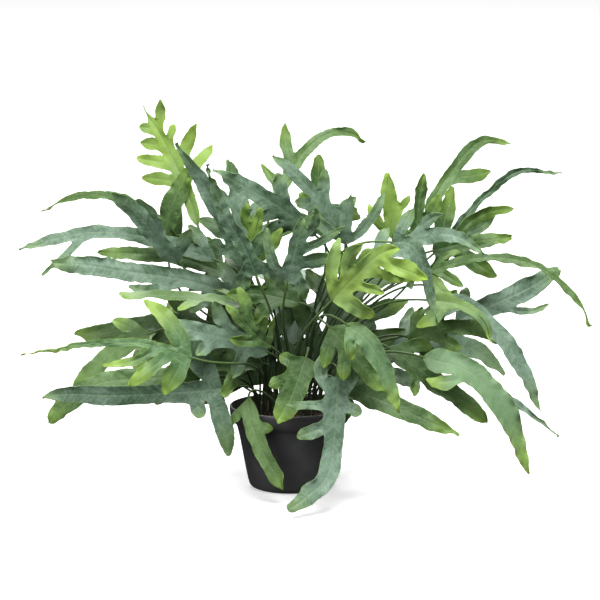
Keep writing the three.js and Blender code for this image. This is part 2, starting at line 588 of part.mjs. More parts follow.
// Points over a frond, each with the midrib points that carry it.
function frondSamples(frond) {
  const samples = [];
  const spans = frond.points.length - 1;
  const add = (at, s) => {
    const k = Math.min(Math.floor(s * spans), spans - 1);
    samples.push({ x: at.x, y: at.y, z: at.z, k, t: s * spans - k, share: 1 });
  };
  const curve = stemCurve(frond);
  const stemSteps = Math.ceil(curveLength(curve) / SAMPLE_STEP);
  for (let i = FIRST_FREE; i < stemSteps; i++) {
    const at = curve(i / stemSteps);
    samples.push({ x: at.x, y: at.y, z: at.z, k: 0, t: 0, share: (i / stemSteps) ** STEM_BEND });
  }
  const bladeSteps = Math.ceil(frond.length / SAMPLE_STEP);
  for (let i = 0; i <= bladeSteps; i++) {
    const s = i / bladeSteps;
    add(bladeFrame(frond, s).at, s);
    add(edgePoint(frond, s, -1), s);
    add(edgePoint(frond, s, 1), s);
  }
  for (const lobe of frond.lobes) {
    const steps = Math.ceil(lobe.length / SAMPLE_STEP);
    for (let i = 1; i <= steps; i++) {
      const frame = lobeFrame(frond, lobe, i / steps);
      for (const across of [-1, 0, 1]) {
        add(frame.at.clone().addScaledVector(frame.right, across * lobeHalf(lobe, i / steps)), lobe.at);
      }
    }
  }
  return samples;
}

// Pairs of samples of two fronds that lie close to each other seen along Y.
function nearPairs(samples) {
  const cells = new Map();
  const key = (i, j) => i * CELLS_ACROSS + j;
  const cellOf = (value) => Math.floor(value / NEAR) + CELL_MIDDLE;
  samples.forEach((p, i) => {
    const k = key(cellOf(p.x), cellOf(p.z));
    if (!cells.has(k)) cells.set(k, []);
    cells.get(k).push(i);
  });
  const pairs = [];
  samples.forEach((p, i) => {
    for (let a = -1; a <= 1; a++) {
      for (let b = -1; b <= 1; b++) {
        for (const j of cells.get(key(cellOf(p.x) + a, cellOf(p.z) + b)) ?? []) {
          const q = samples[j];
          if (j <= i || q.owner === p.owner || Math.hypot(p.x - q.x, p.z - q.z) > NEAR) continue;
          pairs.push([i, j]);
        }
      }
    }
  });
  return pairs;
}

// Fronds that would cross lean apart, forward and back, until each has its own room.
function settle(fronds) {
  const samples = fronds.flatMap((frond, owner) => frondSamples(frond).map((p) => ({ ...p, owner })));
  const pairs = nearPairs(samples);
  const order = new Map();
  const key = (p, q) => [p.owner, q.owner, p.share < 1, q.share < 1].join();
  for (const [i, j] of pairs) {
    const [p, q] = [samples[i], samples[j]];
    const apart = q.y - p.y;
    order.set(key(p, q), (order.get(key(p, q)) ?? 0) + apart * Math.exp(-Math.abs(apart) / DEEP));
  }
  const shifts = fronds.map((frond) => frond.points.map(() => 0));
  const leanOf = (p) => {
    const shift = shifts[p.owner];
    return p.share * ((1 - p.t) * shift[p.k] + p.t * shift[Math.min(p.k + 1, shift.length - 1)]);
  };
  for (let round = 0; round < SETTLE_ROUNDS; round++) {
    const push = fronds.map((frond) => frond.points.map(() => [0, 0]));
    for (const [i, j] of pairs) {
      const [p, q] = [samples[i], samples[j]];
      const sign = Math.sign(order.get(key(p, q)));
      const room = sign * (q.y + leanOf(q) - p.y - leanOf(p));
      if (room > CLEAR || room < -DEEP) continue;
      for (const [r, way] of [[p, -1], [q, 1]]) {
        const move = 0.5 * way * sign * (CLEAR + EASE - room);
        for (const [k, t] of [[r.k, 1 - r.t], [Math.min(r.k + 1, push[r.owner].length - 1), r.t]]) {
          const weight = t * r.share;
          push[r.owner][k][0] += weight * Math.abs(move) * move;
          push[r.owner][k][1] += weight * Math.abs(move);
        }
      }
    }
    push.forEach((row, f) => {
      row.forEach(([sum, weight], k) => {
        if (weight > 0) shifts[f][k] += sum / weight;
      });
      shifts[f] = shifts[f].map((shift, k, all) => {
        const beside = ((all[k - 1] ?? END_HOLD * shift) + (all[k + 1] ?? shift)) / 2;
        return clamp(shift + STIFFNESS * (beside - shift), -MOST_LEAN, MOST_LEAN);
      });
    });
  }
  fronds.forEach((frond, f) => frond.points.forEach((p, k) => (p.y += shifts[f][k])));
}

// A fixed draw from 0 to 1 for each pair of whole numbers.
function draw(i, j) {
  const value = Math.sin(DRAW_FIRST * (i + 1) + DRAW_SECOND * (j + 1)) * DRAW_SPREAD;
  return value - Math.floor(value);
}

function makeFronds() {
  const fronds = FRONDS.map(({ colour, width, face, taper = ROUND_TAPER, rib, lobes = [] }, i) => ({
    name: "frond_" + String(i + 1).padStart(2, "0"),
    colour,
    width,
    taper,
    facing: faceVector(face),
    points: rib.map((p) => point(...p)),
    phase: 2 * Math.PI * draw(i, 0),
    lobes: lobes.map(([at, angle, length, lobeWidth], j) => ({
      at,
      angle,
      side: Math.sign(angle),
      length,
      width: lobeWidth,
      sag: LEAST_SAG + draw(i, j + 1),
    })),
  }));
  for (const frond of fronds) {
    frond.length = curveLength((u) => through(frond.points, u));
    seatLobes(frond);
  }
  placeRoots(fronds);
  settle(fronds);
  return fronds;
}

function solidOf(geometry) {
  const plain = geometry.clone();
  plain.deleteAttribute("normal");
  plain.deleteAttribute("uv");
  const merged = mergeVertices(plain, WELD);
  const mesh = new wasm.Mesh({
    numProp: 3,
    vertProperties: new Float32Array(merged.attributes.position.array),
    triVerts: new Uint32Array(merged.index.array),
  });
  return new wasm.Manifold(mesh);
}

function geometryOf(solid) {
  const { vertProperties, triVerts } = solid.getMesh();
  const made = new THREE.BufferGeometry();
  made.setAttribute("position", new THREE.BufferAttribute(vertProperties, 3));
  made.setIndex(new THREE.BufferAttribute(triVerts, 1));
  return made;
}

// Turns an outline in the XZ plane round the Z axis.
function turned(outline, sides) {
  const made = new THREE.LatheGeometry(outline.map(([x, z]) => new THREE.Vector2(x, z)), sides);
  return made.rotateX(Math.PI / 2);
}

function prism(radius, sides, bottom, top) {
  return turned([[0, bottom], [radius, bottom], [radius, top], [0, top]], sides);
}

// The pot's outside line from the foot to the rim: radius and height, and how far the line
// moves inwards and upwards for each millimetre that it is inset.
const POT_LINE = [
  [FOOT_RADIUS - FOOT_ROUND, 0, 0, 1],
  [FOOT_RADIUS - 0.38 * FOOT_ROUND, 0.25 * FOOT_RISE, 0.7, 0.8],
  [FOOT_RADIUS, FOOT_RISE, 1, 0.5],
  [WALL_TOP_RADIUS, WALL_TOP, 1, 0.4],
  [SHOULDER_RADIUS, SHOULDER_HEIGHT, 1, 0.6],
  [COLLAR_RADIUS, COLLAR_BOTTOM, 1, 0.3],
  [RIM_RADIUS, POT_HEIGHT - RIM_ROUND, 1, 0],
  [RIM_RADIUS - RIM_ROUND, POT_HEIGHT, 1, 0],
];

function potLine(inset) {
  return POT_LINE.map(([radius, height, inward, upward]) => {
    return [radius - inward * inset, height + upward * inset];
  });
}

function potGeometry() {
  const inside = potLine(WALL).slice(0, -2);
  const rim = [RIM_RADIUS - RIM_ROUND - WALL, POT_HEIGHT];
  const outline = [[0, 0], ...potLine(0), rim, ...inside.reverse(), [0, WALL]];
  let pot = solidOf(turned(outline, POT_SIDES));
  for (let i = 0; i < DRAIN_COUNT; i++) {
    const a = (2 * Math.PI * i) / DRAIN_COUNT;
    const hole = prism(DRAIN_RADIUS, DRAIN_SIDES, -CUT_OVERRUN, WALL + CUT_OVERRUN);
    hole.translate(DRAIN_CIRCLE * Math.cos(a), DRAIN_CIRCLE * Math.sin(a), 0);
    pot = pot.subtract(solidOf(hole));
  }
  return geometryOf(pot);
}

// A creeping stem, thick in the middle and round at both ends, half sunk in the soil.
function rhizomeGeometry(turn, grow) {
  const [radius, half] = [RHIZOME_RADIUS + grow, RHIZOME_LENGTH / 2 + grow];
  const outline = [[0, -half]];
  for (const [across, along] of [[0.55, 0.92], [0.9, 0.7], [1, 0.25]]) {
    outline.push([across * radius, -along * half]);
  }
  for (const [across, along] of [[0.92, 0.3], [0.8, 0.72], [0.45, 0.94]]) {
    outline.push([across * radius, along * half]);
  }
  outline.push([0, half]);
  const a = radians(turn);
  const made = turned(outline, RHIZOME_SIDES).rotateX(Math.PI / 2).rotateZ(a);
  return made.translate(RHIZOME_CIRCLE * Math.cos(a), RHIZOME_CIRCLE * Math.sin(a), SOIL_TOP);
}

function soilGeometry(fronds) {
  const inset = WALL + SEAT_GAP;
  const side = potLine(inset).slice(0, -3);
  const top = [SOIL_RADIUS - inset, SOIL_TOP];
  let soil = solidOf(turned([[0, inset], ...side, top, [0, SOIL_TOP]], POT_SIDES));
  const holeRadius = STEM_RADIUS + HOLE_CLEARANCE;
  const hole = prism(holeRadius, HOLE_SIDES, SOIL_TOP - HOLE_DEPTH, SOIL_TOP + CUT_OVERRUN);
  for (const { root } of fronds) {
    soil = soil.subtract(solidOf(hole.clone().translate(root.x, root.y, 0)));
  }
  for (const turn of RHIZOME_TURNS) soil = soil.subtract(solidOf(rhizomeGeometry(turn, SEAT_GAP)));
  return geometryOf(soil);
}

function addMesh(group, name, geometry, material) {
  const mesh = new THREE.Mesh(geometry, material);
  mesh.name = name;
  group.add(mesh);
}

const fern = new THREE.Group();
const fronds = makeFronds();
addMesh(fern, "pot", potGeometry(), MATERIALS.pot);
addMesh(fern, "soil", soilGeometry(fronds), MATERIALS.soil);
RHIZOME_TURNS.forEach((turn, i) => {
  addMesh(fern, "rhizome_" + (i + 1), rhizomeGeometry(turn, 0), MATERIALS.rhizome);
});
for (const frond of fronds) addMesh(fern, frond.name, frondGeometry(frond), MATERIALS[frond.colour]);

export default fern;
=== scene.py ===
# A potted blue star fern: fine fronds, soil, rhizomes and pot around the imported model.
# The fern's own sizes are in millimetres, and each piece is made in metres.
import math
from types import SimpleNamespace

import bpy
import numpy as np
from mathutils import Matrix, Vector, kdtree


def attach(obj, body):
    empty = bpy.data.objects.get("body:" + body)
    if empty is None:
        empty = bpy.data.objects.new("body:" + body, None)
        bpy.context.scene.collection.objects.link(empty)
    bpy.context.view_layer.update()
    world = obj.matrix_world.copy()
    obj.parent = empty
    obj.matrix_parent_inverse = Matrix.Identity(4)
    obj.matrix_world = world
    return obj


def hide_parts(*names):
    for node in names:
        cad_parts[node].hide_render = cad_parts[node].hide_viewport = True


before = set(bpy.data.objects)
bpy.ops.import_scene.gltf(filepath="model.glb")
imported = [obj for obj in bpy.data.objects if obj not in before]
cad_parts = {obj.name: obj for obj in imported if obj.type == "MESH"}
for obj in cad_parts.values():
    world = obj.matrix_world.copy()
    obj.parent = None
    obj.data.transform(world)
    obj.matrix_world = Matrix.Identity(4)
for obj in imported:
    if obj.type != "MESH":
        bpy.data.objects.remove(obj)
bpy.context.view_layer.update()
BODY = "root"
MM = 0.001

# Camera, as the photo was taken: a long lens from a little above.
IMAGE_SIZE = 600
CAMERA_TARGET = (11.4, 0, 218.75)
CAMERA_DISTANCE = 6000
CAMERA_ELEVATION = 10.5
MM_PER_PIXEL = 1.14754
SENSOR_WIDTH = 36

# Pot
POT_HEIGHT = 96
RIM_RADIUS = 70
RIM_ROUND = 1
COLLAR_RADIUS = 68.8
COLLAR_BOTTOM = 83
SHOULDER_RADIUS = 66.8
SHOULDER_HEIGHT = 78.5
WALL_TOP_RADIUS = 60.8
WALL_TOP = 74
FOOT_RADIUS = 48.4
FOOT_ROUND = 8.4
FOOT_RISE = 8
WALL = 1.6
DRAIN_COUNT = 6
DRAIN_RADIUS = 4
DRAIN_CIRCLE = 27

# Soil and rhizomes
SEAT_GAP = 0.3
SOIL_TOP = 87
SOIL_RADIUS = 67.6
HOLE_DEPTH = 12
RHIZOME_RADIUS = 4.2
RHIZOME_LENGTH = 30
RHIZOME_CIRCLE = 56
RHIZOME_TURNS = (-82, 128)

# Fronds: the same rules as the solids follow
HEADING_STEP = 0.01
LENGTH_STEPS = 24
STEM_RADIUS = 1.3
STEM_RISE = 0.5
STEM_JOIN = 0.35
BLADE_STEP = 22
LEAST_STEPS = 4
TIP_STEP = 0.4
NECK_WIDTH = 0.25
NECK_LENGTH = 0.06
ROUND_TAPER = 0.65
ROUND_TIP = 0.5
FINE_TIP = 0.85
BLUNT = 0.26
EDGE_LIFT = 0.16
EDGE_WAVE = 1.4
WAVE_TURN = 0.11
LOBE_TAPER = 0.45
LOBE_BLUNT = 0.25
LOBE_DROOP = 0.14
LEAST_SAG = 0.7
LEAST_SPREAD = 50
MOST_SPREAD = 115
ROOT_CIRCLE = 45
ROOT_SPACING = 8
ROOT_EASE = 25
ROOT_RISE = 0.5
ROOT_LIMIT = 48
ROOT_ROUNDS = 60
SAMPLE_STEP = 8
NEAR = 7
CLEAR = 4.4
EASE = 0.5
STEM_BEND = 1.5
FIRST_FREE = 2
DEEP = 30
MOST_LEAN = 32
STIFFNESS = 0.12
SETTLE_ROUNDS = 120
END_HOLD = 0.5
DRAW_FIRST = 12.9898
DRAW_SECOND = 78.233
DRAW_SPREAD = 43758.5453

BLUE = "blue"
GREEN = "green"
LIME = "lime"

# Each frond gives its colour, its width, the way its upper face looks (turn from -Y to +X, then
# tilt up, in degrees), the points of its midrib from the stem to the tip, its side lobes as
# (place along the blade, angle from the midrib with left negative, length, width), and where it
# starts to narrow if its tip is fine.
FRONDS = [
    (BLUE, 23, (10, 20),
     [(54, -88, 150), (52, -100, 116), (49, -114, 79), (42, -132, 43), (20, -150, 24), (-2, -168, 11)],
     [(0.06, 180, 42, 15), (0.08, 85, 48, 9), (0.14, 65, 33, 15), (0.06, -175, 32, 9),
      (0.11, -70, 18, 14)]),
    (GREEN, 18, (-15, 15),
     [(-47, -68, 118), (-43, -82, 89), (-32, -90, 62), (-17, -96, 36), (-8, -102, 18)],
     [(0.1, 50, 26, 10), (0.3, -70, 14, 10)]),
    (GREEN, 28, (0, 20),
     [(18, -85, 170), (9, -93, 146), (0, -99, 124), (-15, -105, 100)],
     [(0.06, 105, 16, 14), (0.09, -95, 6, 13), (0.4, 45, 20, 12)]),
    (BLUE, 22, (-10, 12),
     [(-77, -90, 132), (-124, -100, 131), (-192, -108, 129), (-254, -110, 131), (-280, -108, 127)],
     [(0.04, 60, 90, 28), (0.02, -102, 68, 21), (0.1, -95, 20, 16)], 0.5),
    (GREEN, 25, (-12, 30),
     [(-102, -66, 142), (-159, -76, 143), (-216, -82, 138), (-255, -86, 113), (-274, -88, 93)],
     [(0.06, 55, 38, 16), (0.16, -50, 24, 15)]),
    (LIME, 11, (-15, 30),
     [(-110, -118, 181), (-146, -126, 194), (-182, -130, 198), (-236, -132, 195), (-302, -130, 183)],
     [(0.1, 35, 74, 19), (0.15, -25, 60, 10), (0.05, -80, 44, 21), (0.1, -55, 65, 14)], 0.3),
    (GREEN, 23, (-15, 30),
     [(-160, -40, 189), (-196, -44, 171), (-221, -48, 151), (-249, -50, 118)],
     [(0.08, 50, 34, 15), (0.2, -50, 30, 14)]),
    (GREEN, 23, (-20, 25),
     [(-57, -14, 169), (-115, -8, 188), (-161, 0, 189), (-221, 8, 175), (-248, 12, 178)],
     [(0.22, -45, 30, 16), (0.06, 30, 34, 16), (0.1, -75, 32, 16), (0.3, 45, 34, 15),
      (0.42, -45, 30, 15)], 0.6),
    (BLUE, 23, (-10, 25),
     [(-25, -57, 169), (-62, -65, 186), (-102, -71, 200), (-142, -75, 212)],
     [(0.12, 40, 37, 16), (0.24, -85, 31, 15), (0.4, 45, 30, 15), (0.5, -45, 26, 14)]),
    (GREEN, 23, (-10, 30),
     [(-32, -63, 153), (-61, -69, 158), (-91, -73, 161), (-119, -75, 166)],
     [(0.13, 60, 29, 16), (0.26, -60, 35, 15), (0.4, 45, 28, 14)]),
    (GREEN, 21, (-30, 70),
     [(-51, -56, 222), (-102, -64, 233), (-159, -70, 237), (-194, -72, 239)],
     [(0.1, 50, 36, 15), (0.3, -45, 32, 14)]),
    (BLUE, 22, (-15, 25),
     [(-57, -36, 225), (-114, -41, 245), (-182, -44, 257), (-233, -46, 266), (-272, -48, 269)],
     [(0.35, -10, 42, 14), (0.08, 40, 33, 16), (0.14, -60, 27, 15)]),
    (GREEN, 17, (-20, 20),
     [(-75, 20, 244), (-127, 30, 260), (-173, 40, 263), (-223, 48, 264)],
     [(0.28, 0, 49, 14), (0.09, 45, 33, 15), (0.1, -50, 32, 14)]),
    (BLUE, 18, (-15, 35),
     [(-86, -14, 266), (-160, -20, 292), (-221, -24, 300), (-274, -26, 291), (-310, -28, 281)],
     [(0.55, -32, 58, 8), (0.07, 40, 34, 14)], 0.4),
    (BLUE, 21, (-30, 15),
     [(-128, -30, 266), (-148, -34, 289), (-170, -38, 321), (-204, -40, 350)],
     [(0.41, 0, 43, 10), (0.12, 60, 34, 14)]),
    (GREEN, 11, (-30, 30),
     [(-127, 60, 279), (-163, 80, 305), (-204, 100, 322), (-251, 116, 320), (-296, 130, 298)],
     [(0.06, 50, 34, 13)], 0.4),
    (LIME, 14, (-10, 10),
     [(-106, 23, 302), (-118, 36, 337), (-134, 52, 372), (-153, 66, 406), (-171, 74, 432)],
     [(0.36, -56, 44, 14), (0.5, -54, 37, 13), (0.64, -52, 24, 12), (0.79, -50, 14, 10),
      (0.36, 60, 46, 13), (0.5, 58, 45, 14), (0.64, 40, 28, 11), (0.79, 48, 18, 7)], 0.5),
    (GREEN, 25, (-32, 15),
     [(-140, 24, 259), (-143, 28, 290), (-135, 32, 324), (-114, 36, 369)],
     [(0.4, -60, 42, 11), (0.14, 60, 36, 14)]),
    (BLUE, 20, (-28, 10),
     [(-50, -49, 265), (-70, -55, 310), (-99, -61, 366), (-129, -65, 411)],
     [(0.09, 50, 43, 15), (0.23, -55, 27, 14)], 0.5),
    (BLUE, 17, (-10, 15),
     [(-38, -102, 267), (-53, -110, 304), (-76, -118, 343), (-93, -122, 397)],
     [(0.11, -165, 25, 15), (0.05, 160, 38, 15)], 0.45),
    (BLUE, 22, (20, 10),
     [(-44, 70, 251), (-58, 96, 307), (-71, 118, 362)],
     [(0.17, 85, 58, 18), (0.3, -55, 50, 18), (0.4, 50, 30, 14), (0.5, -40, 28, 13)]),
    (BLUE, 21, (-5, 15),
     [(29, 44, 288), (-12, 36, 322), (-57, 26, 350), (-88, 16, 369)],
     [(0.13, 40, 30, 15), (0.17, -55, 28, 14), (0.35, -50, 30, 14), (0.4, 45, 28, 13)], 0.5),
    (GREEN, 13, (-5, 20),
     [(-16, 90, 320), (10, 120, 364), (41, 140, 389), (72, 150, 391), (86, 156, 376)],
     [(0.13, -38, 46, 13), (0.06, -58, 33, 10)], 0.35),
    (BLUE, 16, (20, 20),
     [(55, -10, 304), (29, -16, 342), (1, -22, 373), (-20, -26, 390)],
     [(0.14, 90, 33, 14), (0.2, -50, 31, 14), (0.4, 45, 28, 13), (0.4, -45, 28, 13)], 0.6),
    (GREEN, 21, (30, 10),
     [(40, 60, 278), (33, 84, 327), (33, 104, 370)],
     [(0.21, 90, 54, 16), (0.31, -35, 26, 15), (0.1, -55, 32, 15)]),
    (LIME, 13, (0, 10),
     [(-32, -24, 267), (-39, -26, 298), (-33, -28, 330)],
     [(0.68, -15, 31, 10), (0.2, 50, 34, 13), (0.3, -50, 30, 12)]),
    (BLUE, 17, (0, 20),
     [(-3, -111, 260), (2, -115, 283), (8, -119, 306), (15, -123, 337)],
     [(0.3, 60, 42, 16), (0.46, 45, 54, 9), (0.24, -30, 55, 11), (0.12, 155, 29, 14), (0.7, 5, 36, 9)]),
    (LIME, 18, (15, 20),
     [(47, -138, 244), (73, -146, 273), (98, -150, 297), (121, -152, 307)],
     [(0.14, -35, 56, 13), (0.35, -15, 43, 13), (0.54, 60, 32, 11), (0.42, 60, 50, 10),
      (0.07, 50, 56, 18), (0.02, 80, 40, 18)]),
    (BLUE, 16, (15, 25),
     [(93, -82, 278), (138, -84, 299), (181, -86, 308), (220, -86, 286)],
     [(0.47, -15, 35, 11), (0.12, -40, 26, 13), (0.2, 65, 25, 13)], 0.6),
    (BLUE, 16, (15, 15),
     [(115, -104, 307), (138, -108, 304), (153, -112, 267), (166, -118, 214)],
     [(0.57, 25, 31, 11), (0.12, -55, 34, 13)], 0.5),
    (LIME, 22, (10, 20),
     [(65, -122, 216), (87, -130, 199), (106, -136, 164), (123, -140, 118)],
     [(0.12, 50, 26, 13)], 0.6),
    (GREEN, 21, (15, 25),
     [(45, -92, 204), (77, -98, 168), (106, -100, 131)],
     [(0.39, 55, 32, 14), (0.17, -60, 24, 15), (0.5, -45, 26, 13), (0.12, 50, 30, 14)], 0.6),
    (GREEN, 26, (10, 30),
     [(50, -68, 141), (85, -78, 126), (142, -88, 103), (192, -94, 82)],
     [(0.26, 55, 23, 9), (0.12, -50, 32, 15), (0.1, 50, 30, 14), (0.4, -45, 26, 14)], 0.5),
    (GREEN, 25, (20, 30),
     [(114, -52, 173), (159, -60, 141), (194, -66, 116), (225, -72, 91)],
     [(0.2, 60, 22, 11), (0.12, -50, 34, 15)]),
    (LIME, 29, (20, 30),
     [(152, -76, 167), (204, -84, 151), (244, -92, 107), (271, -98, 36)],
     [(0.28, 155, 36, 15)], 0.6),
    (BLUE, 9, (25, 25),
     [(144, 10, 170), (186, 16, 146), (240, 24, 108), (275, 30, 81), (311, 34, 51)],
     [(0.12, -11, 90, 22), (0.08, 50, 28, 15)], 0.5),
    (BLUE, 20, (20, 25),
     [(184, -34, 230), (229, -40, 198), (263, -46, 152), (286, -50, 98)],
     [(0.08, 140, 38, 15)], 0.6),
    (LIME, 13, (15, 25),
     [(161, -62, 230), (193, -66, 226), (220, -68, 208), (228, -70, 183)],
     [(0.05, 140, 36, 15), (0.05, -140, 36, 15)], 0.5),
    (GREEN, 18, (20, 20),
     [(135, -22, 176), (172, -22, 190), (212, -22, 190), (240, -20, 172)],
     [(0.13, -40, 44, 16), (0.26, 70, 23, 14), (0.1, 45, 30, 14), (0.4, -45, 28, 14)]),
    (BLUE, 24, (20, 25),
     [(192, 50, 186), (237, 60, 205), (278, 70, 222), (312, 80, 242)],
     [(0.42, 16, 48, 8), (0.13, -50, 25, 14)]),
    (GREEN, 11, (20, 35),
     [(161, 8, 249), (212, 6, 265), (275, 2, 260), (326, 0, 223), (345, -2, 188)],
     [(0.08, -15, 32, 7), (0.06, 50, 32, 11)], 0.35),
    (GREEN, 17, (15, 15),
     [(164, 20, 271), (190, 28, 276), (219, 36, 280), (256, 44, 283)],
     [(0.09, -60, 68, 18), (0.17, -15, 74, 13), (0.21, 46, 50, 17), (0.05, 150, 40, 15)]),
    (BLUE, 9, (15, 20),
     [(181, 70, 276), (224, 94, 322), (268, 112, 351), (316, 124, 343)],
     [(0.12, 20, 58, 10)], 0.4),
    (GREEN, 14, (10, 20),
     [(157, 90, 306), (184, 116, 345), (221, 134, 383), (259, 146, 378)],
     [(0.36, 40, 45, 14)], 0.5),
    (LIME, 18, (5, 10),
     [(117, -34, 295), (116, -38, 324), (112, -42, 348), (110, -44, 370)],
     [(0.18, -30, 34, 10), (0.41, 45, 20, 8)], 0.6),
    (GREEN, 15, (10, 10),
     [(146, -4, 278), (145, -6, 311), (148, -8, 341), (153, -8, 368)],
     [(0.29, 30, 34, 15), (0.14, -45, 34, 14)]),
    (BLUE, 14, (0, 10),
     [(63, -50, 290), (64, -54, 321), (70, -58, 352)],
     [(0.19, 35, 63, 11), (0.18, -45, 44, 13)], 0.5),
    (GREEN, 11, (-10, 20),
     [(-22, -110, 183), (-34, -115, 194), (-56, -121, 218), (-73, -125, 235)],
     [(0.27, 30, 35, 13), (0.2, 70, 25, 8), (0.3, -40, 28, 12), (0.5, 50, 22, 11)]),
    (GREEN, 20, (-10, 25),
     [(11, -69, 226), (-32, -77, 236), (-73, -81, 237)],
     [(0.19, 45, 31, 15), (0.33, -65, 29, 15), (0.5, 45, 26, 13)]),
    (GREEN, 30, (-8, 25),
     [(-26, 30, 114), (-38, 38, 154), (-52, 54, 198), (-62, 86, 240), (-70, 128, 262)],
     [(0.08, 66, 66, 22), (0.1, -66, 66, 22), (0.3, 58, 62, 19), (0.28, -58, 62, 19), (0.5, 52, 48, 17),
      (0.5, -52, 48, 17), (0.7, 42, 30, 14), (0.7, -42, 30, 14)]),
    (GREEN, 30, (10, 25),
     [(30, 30, 114), (44, 38, 152), (62, 52, 192), (80, 82, 230), (98, 122, 258)],
     [(0.08, 66, 66, 22), (0.1, -66, 66, 22), (0.3, 50, 76, 21), (0.28, -52, 62, 20), (0.5, 44, 70, 20),
      (0.5, -52, 56, 18), (0.7, 42, 42, 16), (0.7, -42, 34, 15)]),
    (BLUE, 26, (0, 40),
     [(2, 66, 118), (4, 94, 160), (6, 126, 196), (8, 168, 218), (10, 215, 214), (12, 250, 190)],
     [(0.08, 65, 64, 19), (0.1, -65, 64, 19), (0.3, 60, 60, 18), (0.28, -60, 60, 18), (0.5, 55, 48, 16),
      (0.5, -55, 48, 16), (0.7, 45, 30, 14)]),
    (GREEN, 26, (-30, 45),
     [(-54, 40, 108), (-94, 58, 138), (-140, 76, 158), (-184, 100, 160), (-218, 118, 142)],
     [(0.08, 68, 56, 19), (0.1, -68, 50, 19), (0.3, 62, 66, 19), (0.28, -62, 50, 18), (0.52, 55, 44, 16),
      (0.5, -55, 42, 16)]),
    (BLUE, 26, (30, 45),
     [(58, 40, 106), (99, 56, 134), (148, 72, 152), (198, 96, 150), (238, 116, 128)],
     [(0.08, 68, 50, 19), (0.1, -68, 56, 19), (0.3, 62, 50, 18), (0.28, -62, 56, 18), (0.52, 55, 42, 16),
      (0.5, -55, 44, 16)]),
    (GREEN, 26, (160, 60),
     [(-30, 86, 104), (-52, 130, 118), (-72, 175, 112), (-86, 215, 84)],
     [(0.08, 65, 52, 18), (0.1, -65, 52, 18), (0.4, 55, 44, 16), (0.38, -55, 44, 16)]),
    (LIME, 25, (200, 60),
     [(34, 84, 104), (62, 128, 120), (86, 172, 114), (102, 210, 86)],
     [(0.08, 65, 52, 18), (0.1, -65, 52, 18), (0.4, 55, 44, 16), (0.38, -55, 44, 16)]),
]


def unit(v):
    return v / np.linalg.norm(v, axis=-1, keepdims=True)


def dot(a, b):
    return np.sum(a * b, axis=-1, keepdims=True)


def square_to(vector, direction):
    """The part of a vector that stands square to a direction, at unit length."""
    return unit(vector - direction * dot(vector, direction))


def through(points, u):
    """A smooth curve through the points, at u from 0 at the first to 1 at the last."""
    spans = len(points) - 1
    k = np.minimum(np.floor(u * spans).astype(int), spans - 1)
    t = (u * spans - k)[..., None]
    line = np.vstack([2 * points[0] - points[1], points, 2 * points[-1] - points[-2]])
    a, b, c, d = (line[k + i] for i in range(4))
    return b + 0.5 * t * (c - a + t * (2 * a - 5 * b + 4 * c - d + t * (3 * b - 3 * c + d - a)))


def heading(curve, u):
    before, after = np.maximum(u - HEADING_STEP, 0), np.minimum(u + HEADING_STEP, 1)
    return unit(curve(after) - curve(before))


def curve_length(curve):
    points = curve(np.arange(LENGTH_STEPS + 1) / LENGTH_STEPS)
    return np.linalg.norm(np.diff(points, axis=0), axis=1).sum()


def face_vector(turn, tilt):
    a, b = math.radians(turn), math.radians(tilt)
    return np.array([math.sin(a) * math.cos(b), -math.cos(a) * math.cos(b), math.sin(b)])


def half_width(frond, s, blunt=BLUNT):
    """Half the blade's width: narrow at the stem, full along the middle, round at the tip."""
    neck = NECK_WIDTH + (1 - NECK_WIDTH) * np.minimum(1, s / NECK_LENGTH)
    past = np.clip((s - frond.taper) / (1 - frond.taper), 0, 1)
    nose = (1 - past**2) ** (FINE_TIP if frond.taper < ROUND_TAPER else ROUND_TIP)
    return frond.width / 2 * neck * np.maximum(nose, blunt)


def blade_frame(frond, s):
    """Where the blade runs and faces at places along it."""
    def curve(u):
        return through(frond.points, u)

    ahead = heading(curve, s)
    up = square_to(frond.facing, ahead)
    return SimpleNamespace(at=curve(s), ahead=ahead, up=up, right=np.cross(ahead, up))


def edge_rise(frond, s, side):
    wave = EDGE_WAVE * np.sin(frond.phase + side + WAVE_TURN * frond.length * s)
    return EDGE_LIFT * half_width(frond, s) + wave


def edge_point(frond, s, side, blunt=BLUNT):
    here = blade_frame(frond, s)
    across = side * half_width(frond, s, blunt)[..., None] * here.right
    return here.at + across + edge_rise(frond, s, side)[..., None] * here.up


def lobe_frame(frond, lobe, q):
    """A side lobe leaves the edge well to the side, then swings to its own angle and sags."""
    s = np.full(np.shape(q), lobe.at)
    here = blade_frame(frond, s)
    q = np.asarray(q)[..., None]

    def towards(degrees):
        turn = math.radians(degrees)
        return here.right * lobe.side * math.sin(turn) + here.ahead * math.cos(turn)

    angle = abs(lobe.angle)
    straight = towards(angle)
    swing = towards(min(max(angle, LEAST_SPREAD), MOST_SPREAD)) - straight
    at = edge_point(frond, s, lobe.side) + straight * lobe.length * q
    at = at + swing * lobe.length * q * (1 - q) - here.up * LOBE_DROOP * lobe.sag * lobe.length * q * q
    out = unit(straight + swing * (1 - 2 * q))
    return SimpleNamespace(at=at, up=here.up, out=out, right=np.cross(out, here.up))


def lobe_half(lobe, q, blunt=LOBE_BLUNT):
    past = np.clip((q - LOBE_TAPER) / (1 - LOBE_TAPER), 0, 1)
    return lobe.width / 2 * np.maximum(np.sqrt(1 - past**2), blunt)


def stem_curve(frond):
    start, end = frond.root, frond.points[0]
    reach = np.linalg.norm(end - start)
    ahead = blade_frame(frond, np.array([0.0])).ahead[0]
    rise = start + np.array([0, 0, STEM_RISE * reach])
    join = end - ahead * STEM_JOIN * reach

    def curve(u):
        u = np.asarray(u)[..., None]
        v = 1 - u
        return v**3 * start + 3 * v * v * u * rise + 3 * v * u * u * join + u**3 * end

    return curve


